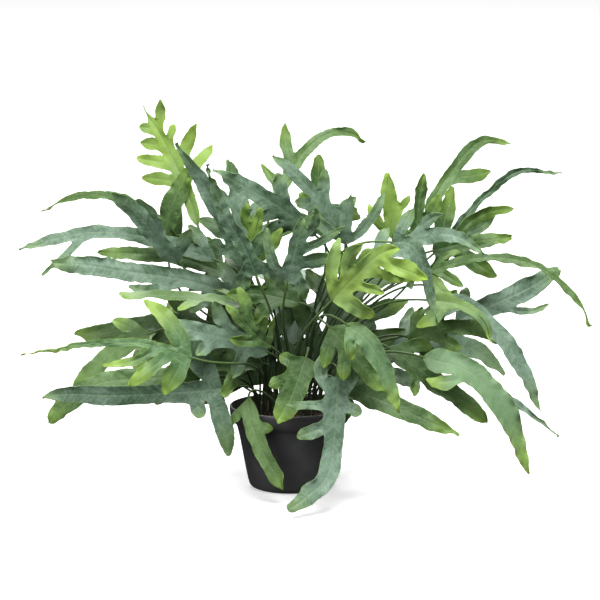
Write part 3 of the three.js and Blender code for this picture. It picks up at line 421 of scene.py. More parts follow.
def blade_stations(frond):
    steps = max(LEAST_STEPS, math.floor(frond.length / BLADE_STEP + 0.5))
    return np.array([i / steps for i in range(steps)] + [1 - TIP_STEP / steps, 1])


def seat_lobes(frond):
    """Lobes take the free stretches of edge nearest to their places, the widest spread first."""
    stations = blade_stations(frond)
    middles = (stations[:-1] + stations[1:]) / 2
    for side in (-1, 1):
        lobes = [lobe for lobe in frond.lobes if lobe.side == side]
        seats = []
        for lobe in lobes:
            free = [k for k in range(len(stations) - 2) if k not in seats]
            seats.append(min(free, key=lambda k: abs(middles[k] - lobe.at)))
        seats.sort()
        lobes.sort(key=lambda lobe: -abs(lobe.angle))
        for i, lobe in enumerate(lobes):
            lobe.seat = seats[i]
            lobe.at = middles[seats[i]]
            lobe.sag *= -1 if i % 2 else 1


def place_roots(fronds):
    """A frond that leans far stands near the rim, an upright one near the middle."""
    for frond in fronds:
        middle = through(frond.points, np.array([0.5]))[0]
        flat = math.hypot(middle[0], middle[1])
        lean = flat / (flat + ROOT_RISE * max(0, middle[2] - SOIL_TOP) + ROOT_EASE)
        frond.root = np.array([*(middle[:2] * ROOT_CIRCLE * lean / flat), SOIL_TOP])
    for _ in range(ROOT_ROUNDS):
        for i, a in enumerate(fronds):
            for b in fronds[i + 1:]:
                apart = b.root - a.root
                distance = np.linalg.norm(apart)
                if distance < ROOT_SPACING:
                    push = apart / distance * (ROOT_SPACING - distance) / 2
                    b.root = b.root + push
                    a.root = a.root - push
        for frond in fronds:
            keep = min(1, ROOT_LIMIT / math.hypot(frond.root[0], frond.root[1]))
            frond.root = frond.root * np.array([keep, keep, 1])


def frond_samples(frond):
    """Points over a frond as columns x, y, z, midrib point, share of the way to the next, sway."""
    spans = len(frond.points) - 1
    rows = []

    def add(points, s):
        k = np.minimum(np.floor(s * spans), spans - 1)
        rows.append(np.column_stack([points, k, s * spans - k, np.ones(len(s))]))

    curve = stem_curve(frond)
    steps = math.ceil(curve_length(curve) / SAMPLE_STEP)
    u = np.arange(FIRST_FREE, steps) / steps
    rows.append(np.column_stack([curve(u), 0 * u, 0 * u, u**STEM_BEND]))
    steps = math.ceil(frond.length / SAMPLE_STEP)
    s = np.arange(steps + 1) / steps
    add(blade_frame(frond, s).at, s)
    for side in (-1, 1):
        add(edge_point(frond, s, side), s)
    for lobe in frond.lobes:
        steps = math.ceil(lobe.length / SAMPLE_STEP)
        q = np.arange(1, steps + 1) / steps
        here = lobe_frame(frond, lobe, q)
        for across in (-1, 0, 1):
            add(here.at + across * lobe_half(lobe, q)[:, None] * here.right, np.full(steps, lobe.at))
    return np.vstack(rows)


def near_pairs(places, owners):
    """Pairs of samples of two fronds that lie close to each other seen along Y."""
    pairs = []
    for i in range(len(places)):
        gap = np.hypot(places[i + 1:, 0] - places[i, 0], places[i + 1:, 2] - places[i, 2])
        found = i + 1 + np.nonzero((gap <= NEAR) & (owners[i + 1:] != owners[i]))[0]
        pairs.append(np.column_stack([np.full(len(found), i), found]))
    return np.vstack(pairs).T


def settle(fronds):
    """Fronds that would cross lean apart, forward and back, until each has its own room."""
    samples = [frond_samples(frond) for frond in fronds]
    owners = np.repeat(np.arange(len(fronds)), [len(rows) for rows in samples])
    samples = np.vstack(samples)
    p, q = near_pairs(samples, owners)
    depth, t, share = samples[:, 1], samples[:, 4], samples[:, 5]
    most = max(len(frond.points) for frond in fronds)
    last = np.array([len(frond.points) - 1 for frond in fronds])
    here = (owners * most + samples[:, 3]).astype(int)
    after = (owners * most + np.minimum(samples[:, 3] + 1, last[owners])).astype(int)
    key = ((owners[p] * len(fronds) + owners[q]) * 2 + (share[p] < 1)) * 2 + (share[q] < 1)
    apart = depth[q] - depth[p]
    order = np.bincount(key, apart * np.exp(-np.abs(apart) / DEEP))
    sign = np.sign(order[key])
    shifts = np.zeros(len(fronds) * most)
    ends = np.concatenate([p, q])
    for _ in range(SETTLE_ROUNDS):
        lean = share * ((1 - t) * shifts[here] + t * shifts[after])
        room = sign * (depth[q] + lean[q] - depth[p] - lean[p])
        move = 0.5 * sign * np.where((room > CLEAR) | (room < -DEEP), 0, CLEAR + EASE - room)
        move = np.concatenate([-move, move])
        total, weight = np.zeros(len(shifts)), np.zeros(len(shifts))
        for cell, part in ((here, 1 - t), (after, t)):
            load = part[ends] * share[ends] * np.abs(move)
            total += np.bincount(cell[ends], load * move, len(shifts))
            weight += np.bincount(cell[ends], load, len(shifts))
        shifts += np.divide(total, weight, out=np.zeros(len(shifts)), where=weight > 0)
        table = shifts.reshape(len(fronds), most)
        for row, end in zip(table, last):
            shift = row[:end + 1].copy()
            before = np.concatenate([[END_HOLD * shift[0]], shift[:-1]])
            beyond = np.concatenate([shift[1:], [shift[-1]]])
            eased = shift + STIFFNESS * ((before + beyond) / 2 - shift)
            row[:end + 1] = np.clip(eased, -MOST_LEAN, MOST_LEAN)
    for frond, row in zip(fronds, shifts.reshape(len(fronds), most)):
        frond.points[:, 1] += row[:len(frond.points)]


def draw(i, j):
    """A fixed draw from 0 to 1 for each pair of whole numbers."""
    value = math.sin(DRAW_FIRST * (i + 1) + DRAW_SECOND * (j + 1)) * DRAW_SPREAD
    return value - math.floor(value)


def make_fronds():
    fronds = []
    for i, (colour, width, face, rib, rows, *taper) in enumerate(FRONDS):
        lobes = [
            SimpleNamespace(at=at, angle=angle, side=math.copysign(1, angle), length=length,
                            width=breadth, sag=LEAST_SAG + draw(i, j + 1))
            for j, (at, angle, length, breadth) in enumerate(rows)
        ]
        frond = SimpleNamespace(
            name=f"frond_{i + 1:02d}", colour=colour, width=width, index=i, lobes=lobes,
            taper=(*taper, ROUND_TAPER)[0], facing=face_vector(*face),
            points=np.array(rib, float), phase=2 * math.pi * draw(i, 0))
        frond.length = curve_length(lambda u: through(frond.points, u))
        seat_lobes(frond)
        fronds.append(frond)
    place_roots(fronds)
    settle(fronds)
    return fronds


# Fine fronds. A cage of four-cornered faces is rounded twice, ruffled and given its thickness.
# Cage columns: place 0-2, way out to the edge 3-5, across 6, along 7, veins 8, tip 9.
PLACE = slice(0, 3)
WAY_OUT = slice(3, 6)
FACTS = slice(6, 10)
VEINS = 8
BLADE_ACROSS = np.array([-1, -0.5, 0, 0.5, 1])
LOBE_ACROSS = np.array([-1, 0, 1])
MID_LIFT = 0.35
FINE_BLUNT = 0.1
LOBE_FINE_BLUNT = 0.2
LOBE_ROWS = np.array([0.14, 0.34, 0.54, 0.74, 0.9, 1])
LOBE_SWELL = 0.16
LOBE_START = 25
BLADE_TIP = 0.7
LOBE_TIP = 0.2
ROUNDINGS = 2
LEAF_THICKNESS = 0.7
RIPPLE_COUNT = 7
RIPPLE_SPREAD = (0.75, 1.3)
FROND_SEEDS = 100
NOTCH_SEED = 50
RUFFLE_REACH = 10
RUFFLE_GROWTH = 1.5
LEAST_RUFFLE = 0.6
MORE_RUFFLE = 0.8
RUFFLE_DRAW = 40
TONE_DRAW = 41
RUFFLES = ((40, 2.4), (14, 1.25))
NOTCHES = ((24, 0.7), (8, 0.35))
STEM_SIDES = 8
STEM_PIECE = 5
RIB_RADIUS = 0.75 * STEM_RADIUS
RIB_TIP_RADIUS = 0.3
RIB_DROP = 0.62


def smooth_step(value, low, high):
    t = np.clip((value - low) / (high - low), 0, 1)
    return t * t * (3 - 2 * t)


def ripple(points, wavelength, seed):
    """A smooth random height, mostly between -1 and 1, over points in space."""
    rng = np.random.default_rng(seed)
    ways = unit(rng.normal(size=(RIPPLE_COUNT, 3)))
    ways = ways * rng.uniform(*RIPPLE_SPREAD, (RIPPLE_COUNT, 1))
    phases = rng.uniform(0, 2 * math.pi, RIPPLE_COUNT)
    waves = np.sin(points @ ways.T * 2 * math.pi / wavelength + phases)
    return waves.sum(1) / math.sqrt(RIPPLE_COUNT)


def grid_faces(ids):
    """Four-cornered faces between the rows and columns of a grid of corners."""
    corners = [ids[:-1, :-1], ids[:-1, 1:], ids[1:, 1:], ids[1:, :-1]]
    return np.stack(corners, -1).reshape(-1, 4)


def ring_faces(ids):
    """The same between rings, where the last column meets the first."""
    return grid_faces(np.column_stack([ids, ids[:, 0]]))


def cage_part(here, half, across, lifts, along, tip):
    """Cage corners in cross rows, with the facts that each carries."""
    wide = half[:, None] * across
    places = here.at[:, None] + here.right[:, None] * wide[..., None]
    places = places + here.up[:, None] * lifts[..., None]
    out = here.right[:, None] * across[:, None]
    facts = [np.broadcast_to(fact[:, None], wide.shape) for fact in (along, along * 0 + 1, tip)]
    return np.dstack([places, out, wide, *facts]).reshape(-1, FACTS.stop)


def blade_cage(frond):
    coarse = blade_stations(frond)
    s = np.sort(np.concatenate([coarse, (coarse[:-1] + coarse[1:]) / 2]))
    left, right = edge_rise(frond, s, -1), edge_rise(frond, s, 1)
    lifts = np.column_stack([left, MID_LIFT * left, 0 * s, MID_LIFT * right, right])
    cage = cage_part(blade_frame(frond, s), half_width(frond, s, FINE_BLUNT), BLADE_ACROSS, lifts,
                     s * frond.length, smooth_step(s, BLADE_TIP, 1))
    return cage, np.arange(len(cage)).reshape(len(s), -1)


def lobe_cage(frond, lobe, ids, first):
    """A lobe's corners past the blade's edge, and the grid that joins them to it."""
    q = LOBE_ROWS
    swell = 1 - LOBE_SWELL + 2 * LOBE_SWELL * np.sin(math.pi * q)
    half = lobe_half(lobe, q, LOBE_FINE_BLUNT) * swell
    lifts = np.column_stack([EDGE_LIFT * half, 0 * q, EDGE_LIFT * half])
    cage = cage_part(lobe_frame(frond, lobe, q), half, LOBE_ACROSS, lifts,
                     LOBE_START + lobe.length * q, smooth_step(q, LOBE_TIP, 1))
    edge = ids[2 * lobe.seat:2 * lobe.seat + 3, -1 if lobe.side > 0 else 0]
    base = edge[::-1] if lobe.side > 0 else edge
    return cage, np.vstack([base, first + np.arange(len(cage)).reshape(len(q), -1)])


def leaf_cage(frond):
    cage, ids = blade_cage(frond)
    grids = [ids]
    for lobe in frond.lobes:
        more, grid = lobe_cage(frond, lobe, ids, len(cage))
        cage[grid[0], VEINS] = 0
        cage = np.vstack([cage, more])
        grids.append(grid)
    return cage, np.vstack([grid_faces(grid) for grid in grids])


def face_edges(faces):
    """Each edge once as two corners, the edge of each face's side, and how many faces share it."""
    sides = np.sort(np.stack([faces, np.roll(faces, -1, 1)], -1).reshape(-1, 2), axis=1)
    edges, which, count = np.unique(sides, axis=0, return_inverse=True, return_counts=True)
    return edges, which.reshape(faces.shape), count


def gathered(values, targets, size):
    total = np.zeros((size, values.shape[1]))
    np.add.at(total, targets, values)
    return total


def rounded(corners, faces):
    """One Catmull-Clark step: each face in four, with the outline kept as a smooth curve."""
    edges, which, count = face_edges(faces)
    size = len(corners)
    middles = corners[faces].mean(1)
    halfway = corners[edges].mean(1)
    beside = gathered(np.repeat(middles, 4, 0), which.ravel(), len(edges))
    outer = count == 1
    on_edge = np.where(outer[:, None], halfway, (2 * halfway + beside) / 4)
    faces_at = np.bincount(faces.ravel(), minlength=size)[:, None]
    face_mean = gathered(np.repeat(middles, 4, 0), faces.ravel(), size) / faces_at
    edges_at = np.bincount(edges.ravel(), minlength=size)[:, None]
    edge_mean = gathered(np.repeat(halfway, 2, 0), edges.ravel(), size) / edges_at
    moved = (face_mean + 2 * edge_mean + (edges_at - 3) * corners) / edges_at
    rim = edges[outer]
    rim_mean = gathered(np.repeat(halfway[outer], 2, 0), rim.ravel(), size) / 2
    on_rim = np.isin(np.arange(size), rim)[:, None]
    moved = np.where(on_rim, (rim_mean + corners) / 2, moved)
    side = size + which
    middle = size + len(edges) + np.arange(len(faces))
    parts = [
        np.column_stack([faces[:, i], side[:, i], middle, side[:, i - 1]]) for i in range(4)
    ]
    return np.vstack([moved, on_edge, middles]), np.vstack(parts)


def surface_normals(points, faces):
    a, b, c, d = (points[faces[:, i]] for i in range(4))
    across = np.cross(c - a, d - b)
    return unit(gathered(np.repeat(across, 4, 0), faces.ravel(), len(points)))


def rim_distance(points, faces):
    """How far each point lies from the leaf's outline."""
    edges, _, count = face_edges(faces)
    rim = np.unique(edges[count == 1])
    tree = kdtree.KDTree(len(rim))
    for i, point in enumerate(points[rim]):
        tree.insert(point, i)
    tree.balance()
    return np.array([tree.find(point)[2] for point in points])


def ruffled(frond, points, out, along, far, normals):
    """Waves and small notches that grow towards the outline."""
    near = np.clip(1 - far / RUFFLE_REACH, 0, 1) ** RUFFLE_GROWTH * np.clip(along / LOBE_START, 0, 1)
    strength = LEAST_RUFFLE + MORE_RUFFLE * draw(frond.index, RUFFLE_DRAW)
    seed = FROND_SEEDS * frond.index
    for k, (wavelength, height) in enumerate(RUFFLES):
        wave = ripple(points, wavelength, seed + k)
        points = points + normals * (strength * height * near * wave)[:, None]
    for k, (wavelength, height) in enumerate(NOTCHES):
        wave = ripple(points, wavelength, seed + NOTCH_SEED + k)
        points = points + out * (height * near * wave)[:, None]
    return points


def thickened(points, faces, normals, thickness):
    """A closed sheet: upper face, lower face and the narrow wall round the outline."""
    size = len(points)
    half = normals * thickness / 2
    sides = np.stack([faces, np.roll(faces, -1, 1)], -1).reshape(-1, 2)
    _, which, count = face_edges(faces)
    open_sides = sides[count[which.ravel()] == 1]
    wall = np.column_stack([open_sides[:, 1], open_sides[:, 0], open_sides[:, 0] + size,
                            open_sides[:, 1] + size])
    return np.vstack([points + half, points - half]), np.vstack([faces, faces[:, ::-1] + size, wall])


def stem_line(frond):
    """The stem from its root and the midrib that carries it on, with radius and upper side."""
    curve = stem_curve(frond)
    steps = math.ceil(curve_length(curve) / STEM_PIECE)
    foot = frond.root - np.array([0, 0, HOLE_DEPTH - SEAT_GAP])
    stem = np.vstack([foot, curve(np.arange(steps + 1) / steps)])
    steps = math.ceil(frond.length / STEM_PIECE)
    s = np.arange(steps) / steps
    blade = blade_frame(frond, s)
    line = np.vstack([stem, blade.at[1:]])
    rib_radius = (RIB_RADIUS + (RIB_TIP_RADIUS - RIB_RADIUS) * s)[1:]
    radius = np.concatenate([np.full(len(stem), STEM_RADIUS), rib_radius])
    ahead = unit(np.gradient(line, axis=0))
    up = np.vstack([0 * stem[1:], blade.up])
    for i in range(len(stem) - 2, -1, -1):
        up[i] = square_to(up[i + 1], ahead[i])
    line[len(stem):] -= blade.up[1:] * (RIB_DROP * rib_radius)[:, None]
    share = np.concatenate([np.linspace(0, 1, len(stem)), np.ones(len(rib_radius))])
    return line, np.cross(ahead, up), up, radius, share


def stem_tube(frond):
    line, right, up, radius, share = stem_line(frond)
    turns = np.arange(STEM_SIDES)[:, None] * 2 * math.pi / STEM_SIDES
    rings = line[:, None] + radius[:, None, None] * (
        right[:, None] * np.cos(turns) + up[:, None] * np.sin(turns))
    ids = np.arange(len(line) * STEM_SIDES).reshape(-1, STEM_SIDES)
    faces = ring_faces(ids)[:, [0, 3, 2, 1]].tolist() + [ids[0].tolist(), ids[-1][::-1].tolist()]
    return rings.reshape(-1, 3), faces, np.repeat(share, STEM_SIDES)


def mesh_object(name, points, faces, material, columns=None):
    """A smooth-shaded object in metres from corners in millimetres, with named vertex columns."""
    mesh = bpy.data.meshes.new(name)
    mesh.from_pydata((points * MM).tolist(), [], [tuple(map(int, face)) for face in faces])
    for label, values in (columns or {}).items():
        attribute = mesh.attributes.new(label, "FLOAT_VECTOR", "POINT")
        attribute.data.foreach_set("vector", np.asarray(values, np.float32).ravel())
    mesh.shade_smooth()
    mesh.set_sharp_from_angle(angle=math.radians(SHARP_ANGLE))
    mesh.materials.append(material)
    made = bpy.data.objects.new(name, mesh)
    bpy.context.scene.collection.objects.link(made)
    return made


def add_piece(made, slot, *nodes):
    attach(made, BODY)
    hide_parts(*nodes)


def frond_columns(frond, facts, far, share):
    """What each corner tells its material: the leaf's upper face, lower face and the stem."""
    tone = draw(frond.index, TONE_DRAW)
    none, stem = 0 * far, 0 * share
    upper = np.column_stack([facts, none + tone, none, none, none, far])
    lower = np.column_stack([facts, none + tone, none + 1, none, none, far])
    tube = np.column_stack([stem, stem, stem, stem, stem + tone, stem, stem + 1, share,
                            stem + RUFFLE_REACH])
    columns = np.vstack([upper, lower, tube])
    return {"leaf": columns[:, :3], "tint": columns[:, 3:6], "part": columns[:, 6:]}


def fine_frond(frond, material):
    cage, faces = leaf_cage(frond)
    for _ in range(ROUNDINGS):
        cage, faces = rounded(cage, faces)
    points, facts = cage[:, PLACE], cage[:, FACTS]
    far = rim_distance(points, faces)
    normals = surface_normals(points, faces)
    points = ruffled(frond, points, cage[:, WAY_OUT], facts[:, 1], far, normals)
    points, faces = thickened(points, faces, surface_normals(points, faces), LEAF_THICKNESS)
    tube, tube_faces, share = stem_tube(frond)
    faces = faces.tolist() + [[len(points) + corner for corner in face] for face in tube_faces]
    columns = frond_columns(frond, facts, far, share)
    made = mesh_object(frond.name + "_fine", np.vstack([points, tube]), faces, material, columns)
    add_piece(made, "frond_" + frond.colour, frond.name)


# Materials
SHARP_ANGLE = 50


def paint(red, green, blue):
    """A colour given as it looks on a screen, from 0 to 255, as the light that it sends back."""
    shares = [value / 255 for value in (red, green, blue)]
    linear = [v / 12.92 if v <= 0.04045 else ((v + 0.055) / 1.055) ** 2.4 for v in shares]
    return (*linear, 1)


class Shader:
    """A material and short ways to add and link its nodes."""

    def __init__(self, name):
        self.material = bpy.data.materials.new(name)
        self.material.use_nodes = True
        self.nodes = self.material.node_tree.nodes
        self.surface = self.nodes["Principled BSDF"]

    def set(self, socket, value):
        if isinstance(value, bpy.types.NodeSocket):
            self.material.node_tree.links.new(value, socket)
        else:
            socket.default_value = value

    def add(self, kind, output, inputs, **settings):
        node = self.nodes.new(kind)
        for key, value in settings.items():
            setattr(node, key, value)
        for key, value in inputs.items():
            self.set(node.inputs[key], value)
        return node.outputs[output]

    def column(self, name):
        """The three numbers of a vertex column."""
        vector = self.add("ShaderNodeAttribute", "Vector", {}, attribute_name=name)
        node = self.nodes.new("ShaderNodeSeparateXYZ")
        self.set(node.inputs[0], vector)
        return node.outputs[0], node.outputs[1], node.outputs[2]

    def math(self, operation, *values):
        return self.add("ShaderNodeMath", 0, dict(enumerate(values)), operation=operation)

    def times(self, first, second):
        return self.math("MULTIPLY", first, second)

    def plus(self, first, second):
        return self.math("ADD", first, second)

    def within(self, value, low, high, start=0.0, end=1.0):
        inputs = {"Value": value, "From Min": low, "From Max": high, "To Min": start, "To Max": end}
        return self.add("ShaderNodeMapRange", "Result", inputs, interpolation_type="SMOOTHSTEP")

    def mix(self, share, first, second, blend="MIX"):
        inputs = {0: share, 6: first, 7: second}
        return self.add("ShaderNodeMix", 2, inputs, data_type="RGBA", blend_type=blend)

    def place(self):
        return self.add("ShaderNodeTexCoord", "Object", {})

    def mapped(self, scale, move=(0, 0, 0)):
        inputs = {"Vector": self.place(), "Location": move, "Scale": scale}
        return self.add("ShaderNodeMapping", 0, inputs)

    def noise(self, scale, detail=2.0, roughness=0.5, vector=None):
        inputs = {"Vector": vector or self.place(), "Scale": scale, "Detail": detail,
                  "Roughness": roughness}
        return self.add("ShaderNodeTexNoise", 0, inputs)

    def bump(self, height, distance, strength=1.0, normal=None):
        inputs = {"Height": height, "Distance": distance, "Strength": strength}
        if normal is not None:
            inputs["Normal"] = normal
        return self.add("ShaderNodeBump", 0, inputs)

    def vector(self, x, y):
        return self.add("ShaderNodeCombineXYZ", 0, {0: x, 1: y})

    def height(self):
        return self.add("ShaderNodeSeparateXYZ", "Z", {0: self.place()})

    def heart(self):
        """Painted shade: from 1 in the crowded heart of the plant, where the leaves are painted darker
        as if shaded, to 0 outside, where leaves get full light.
        """
        move = [-middle / reach for middle, reach in zip(HEART, HEART_REACH)]
        place = self.mapped([1 / reach for reach in HEART_REACH], move)
        distance = self.add("ShaderNodeVectorMath", "Value", {0: place}, operation="LENGTH")
        return self.within(distance, *HEART_EDGE, 1.0, 0.0)

    def finish(self, **sockets):
        for key, value in sockets.items():
            self.set(self.surface.inputs[key.replace("_", " ")], value)
        return self.material


LEAF_COLOURS = {
    BLUE: dict(deep=paint(64, 98, 64), pale=paint(146, 174, 152), tip=paint(136, 172, 80),
               under=paint(104, 140, 98), tip_share=0.6, fresh=0.0),
    GREEN: dict(deep=paint(52, 88, 38), pale=paint(120, 154, 92), tip=paint(142, 178, 64),
                under=paint(92, 130, 64), tip_share=0.8, fresh=0.0),
    LIME: dict(deep=paint(78, 118, 66), pale=paint(128, 162, 118), tip=paint(168, 202, 72),
               under=paint(118, 160, 76), tip_share=1.0, fresh=0.75),
}
RIB_COLOUR = paint(170, 190, 124)
STEM_FOOT = (paint(36, 32, 20), paint(62, 56, 30))
STEM_TOP = paint(92, 122, 62)
STEM_FADE = (0.1, 0.7)
# Painted shade: the dark green that leaves in the heart of the plant are painted towards.
PAINTED_SHADE = paint(34, 60, 24)
PAINTED_SHADE_SHARE = 0.9
HEART = (0, 0.025, 0.19)
HEART_REACH = (0.3, 0.18, 0.23)
HEART_EDGE = (0.2, 0.85)
FRESH_HEIGHTS = (0.19, 0.27)
PATCH_SCALE = 16
TIP_PATCHES = (0.25, 0.7, 0.4, 1.0)
MOTTLE_SCALE = 210
STREAK_ALONG = 0.3
STREAK_ACROSS = 0.07
MOTTLE_SHARE = 1.5
TONE_SHARE = 0.5
BLOOM_RANGE = (0.95, 1.95)
VEIN_SPACING = 5.5
VEIN_SLANT = 0.9
VEIN_WANDER = 14.0
VEIN_EDGE = (0.4, 1.0)
VEIN_SHARE = 0.05
MARGIN = (0.0, 1.2, 0.3, 0.0)
MIDRIB = (0.3, 0.8, 1.0, 0.0)
MIDRIB_SHARE = 0.3
CREASE_WIDTH = 2.5


def vein_rows(shader, across, along):
    """Distance from the midrib, and a count that rises from one slanting vein to the next."""
    from_rib = shader.math("ABSOLUTE", across)
    wander = shader.times(shader.noise(40, 2), VEIN_WANDER)
    slanted = shader.math("SUBTRACT", along, shader.times(from_rib, VEIN_SLANT))
    return from_rib, shader.plus(slanted, wander)


def leaf_mottle(shader, from_rib, row):
    """Fine waxy mottling, drawn out along the veins."""
    vector = shader.vector(shader.times(row, STREAK_ALONG), shader.times(from_rib, STREAK_ACROSS))
    streaks = shader.noise(1, 2, 0.5, vector)
    return shader.plus(shader.times(shader.noise(MOTTLE_SCALE, 3, 0.6), 0.5), shader.times(streaks, 0.5))


def leaf_paint(shader, colours, mottle):
    """Deep green under a pale bloom, with a fresh tip and margin."""
    tip, tone, under = shader.column("tint")
    rim = shader.column("part")[2]
    patches = shader.noise(PATCH_SCALE, 3, 0.5)
    bloom = shader.plus(patches, shader.times(mottle, MOTTLE_SHARE))
    bloom = shader.plus(bloom, shader.times(tone, TONE_SHARE))
    colour = shader.mix(shader.within(bloom, *BLOOM_RANGE), colours["deep"], colours["pale"])
    colour = shader.mix(under, colour, colours["under"])
    fresh = shader.within(shader.height(), *FRESH_HEIGHTS, 0.0, colours["fresh"])
    share = shader.times(shader.math("MAXIMUM", tip, fresh), shader.within(patches, *TIP_PATCHES))
    colour = shader.mix(shader.times(share, colours["tip_share"]), colour, colours["tip"])
    return shader.mix(shader.within(rim, *MARGIN), colour, colours["tip"])


def leaf_material(colour_name):
    """A satin leaf with a waxy bloom, a faint midrib and veins, yellow-green tips, and painted shade
    that darkens the leaves in the heart of the plant.
    """
    shader = Shader("leaf_" + colour_name)
    colours = LEAF_COLOURS[colour_name]
    across, along, veins = shader.column("leaf")
    from_rib, row = vein_rows(shader, across, along)
    mottle = leaf_mottle(shader, from_rib, row)
    colour = leaf_paint(shader, colours, mottle)
    line = shader.math("SINE", shader.times(row, 2 * math.pi / VEIN_SPACING))
    line = shader.times(shader.within(line, *VEIN_EDGE), veins)
    colour = shader.mix(shader.times(line, VEIN_SHARE), colour, colours["deep"])
    midrib = shader.times(shader.within(from_rib, *MIDRIB), veins)
    rib_colour = shader.mix(0.5, colours["pale"], RIB_COLOUR)
    colour = shader.mix(shader.times(midrib, MIDRIB_SHARE), colour, rib_colour)
    stem, height, _ = shader.column("part")
    stem_foot = shader.mix(shader.noise(90, 2), *STEM_FOOT)
    stem_colour = shader.mix(shader.within(height, *STEM_FADE), stem_foot, STEM_TOP)
    colour = shader.mix(stem, colour, stem_colour)
    # Painted shade: leaves in the crowded heart of the plant are painted darker.
    colour = shader.mix(shader.times(shader.heart(), PAINTED_SHADE_SHARE), colour, PAINTED_SHADE)
    relief = shader.bump(shader.noise(90, 2, 0.5), 0.0008, 0.5)
    relief = shader.bump(line, 0.0002, 0.3, relief)
    relief = shader.bump(shader.within(from_rib, 0.0, CREASE_WIDTH), 0.0005, 0.5, relief)
    return shader.finish(Base_Color=colour, Roughness=shader.within(mottle, 0.3, 0.7, 0.45, 0.6),
                         Normal=relief, Specular_IOR_Level=0.4, Sheen_Weight=0.1,
                         Sheen_Roughness=0.5, Subsurface_Weight=0.1,
                         Subsurface_Radius=(0.6, 1.0, 0.3), Subsurface_Scale=0.0015)


def pot_material():
    """Matt black moulded plastic with a fine grain and faint dust."""
    shader = Shader("pot_plastic")
    grain = shader.noise(900, 3, 0.6)
    rings = shader.noise(1, 3, 0.6, shader.mapped((6, 6, 420)))
    dust = shader.noise(26, 4, 0.6)
    colour = shader.mix(shader.within(dust, 0.35, 0.8), paint(82, 82, 83), paint(100, 100, 102))
    relief = shader.bump(grain, 0.0002, 0.35)
    relief = shader.bump(rings, 0.0004, 0.25, relief)
    shine = shader.within(dust, 0.3, 0.7, 0.42, 0.58)
    return shader.finish(Base_Color=colour, Roughness=shine, Normal=relief)


def soil_material():
    """Dark potting peat with reddish bark and a few pale grains."""
    shader = Shader("potting_soil")
    kind, wear, _ = shader.column("chip")
    crumbs = shader.noise(420, 4, 0.7)
    peat = shader.mix(crumbs, paint(22, 15, 11), paint(70, 50, 36))
    bark = shader.mix(crumbs, paint(70, 38, 24), paint(128, 78, 50))
    colour = shader.mix(shader.within(kind, 0.35, 0.75), peat, bark)
    colour = shader.mix(shader.within(kind, 0.93, 0.96), colour, paint(150, 136, 116))
    colour = shader.mix(shader.times(wear, 0.5), colour, paint(30, 21, 15))
    relief = shader.bump(crumbs, 0.0012, 0.9)
    return shader.finish(Base_Color=colour, Roughness=0.92, Normal=relief)


def rhizome_material():
    """A creeping stem under golden-brown scales."""
    shader = Shader("rhizome_scales")
    fleck = shader.noise(700, 3, 0.6)
    colour = shader.mix(fleck, paint(88, 52, 26), paint(190, 140, 84))
    streak = shader.noise(120, 2)
    colour = shader.mix(shader.within(streak, 0.4, 0.7), colour, paint(132, 92, 50))
    relief = shader.bump(fleck, 0.0004, 0.7)
    return shader.finish(Base_Color=colour, Roughness=0.8, Normal=relief, Sheen_Weight=0.2)


# Pot, soil and rhizomes
POT_STEPS = 128
CORNER_CUTS = 2
CORNER_CUT = 0.2
HIDDEN_RIM = 4
DRAIN_SIDES = 32
# Radius, height, and the shares of an inset that move the place inwards and upwards
POT_LINE = np.array([
    [FOOT_RADIUS - FOOT_ROUND, 0, 0, 1],
    [FOOT_RADIUS - 0.38 * FOOT_ROUND, 0.25 * FOOT_RISE, 0.7, 0.8],
    [FOOT_RADIUS, FOOT_RISE, 1, 0.5],
    [WALL_TOP_RADIUS, WALL_TOP, 1, 0.4],
    [SHOULDER_RADIUS, SHOULDER_HEIGHT, 1, 0.6],
    [COLLAR_RADIUS, COLLAR_BOTTOM, 1, 0.3],
    [RIM_RADIUS, POT_HEIGHT - RIM_ROUND, 1, 0],
    [RIM_RADIUS - RIM_ROUND, POT_HEIGHT, 1, 0],
])
SOIL_RINGS = 26
SOIL_STEPS = 96
SOIL_SEED = 5
SOIL_LUMPS = ((19, 1.3), (7, 0.7), (3, 0.35))
LUMP_SEED = 900
CHIPS = 900
CHIP_MARGIN = 4
CHIP_SIZES = (0.7, 2.6)
CHIP_STRETCH = (0.8, 2.2)
CHIP_FLATNESS = (0.4, 0.8)
CHIP_CROOK = (0.7, 1.2)
CHIP_TILT = (0.3, 0.3, 1)
CHIP_CORNERS = np.array([[1, 0, 0], [0, 1, 0], [-1, 0, 0], [0, -1, 0], [0, 0, 1], [0, 0, -1]], float)
CHIP_SIDES = np.array([[0, 1, 4], [1, 2, 4], [2, 3, 4], [3, 0, 4],
                       [1, 0, 5], [2, 1, 5], [3, 2, 5], [0, 3, 5]])
RHIZOME_RINGS = 13
RHIZOME_SIDES = 20
RHIZOME_SEED = 20
SCALES = 420
SCALE_LENGTH = 3.4
SCALE_WIDTH = 0.9
SCALE_SIZES = (0.6, 1.2)
SCALE_REACH = 0.95
SCALE_SWAY = 0.4
SCALE_MIDDLE = 0.45
SCALE_KEEL = 0.25
SCALE_LIFT = (0.3, 1.3)
SCALE_SIDES = [(0, 1, 2), (0, 2, 4), (4, 2, 3), (1, 0, 5), (2, 1, 5), (0, 4, 5), (4, 3, 5), (3, 2, 5)]


def pot_line(inset):
    """The pot's outside line from the foot to the rim, moved in by a wall or a gap."""
    radius, height, inward, upward = POT_LINE.T
    return np.column_stack([radius - inward * inset, height + upward * inset])


def cut_corners(line):
    """The line with each corner cut into a round, its two ends kept."""
    for _ in range(CORNER_CUTS):
        before, after = line[:-1], line[1:]
        cut = CORNER_CUT * (after - before)
        cuts = np.stack([before + cut, after - cut], 1).reshape(-1, 2)
        line = np.vstack([line[:1], cuts[1:-1], line[-1:]])
    return line


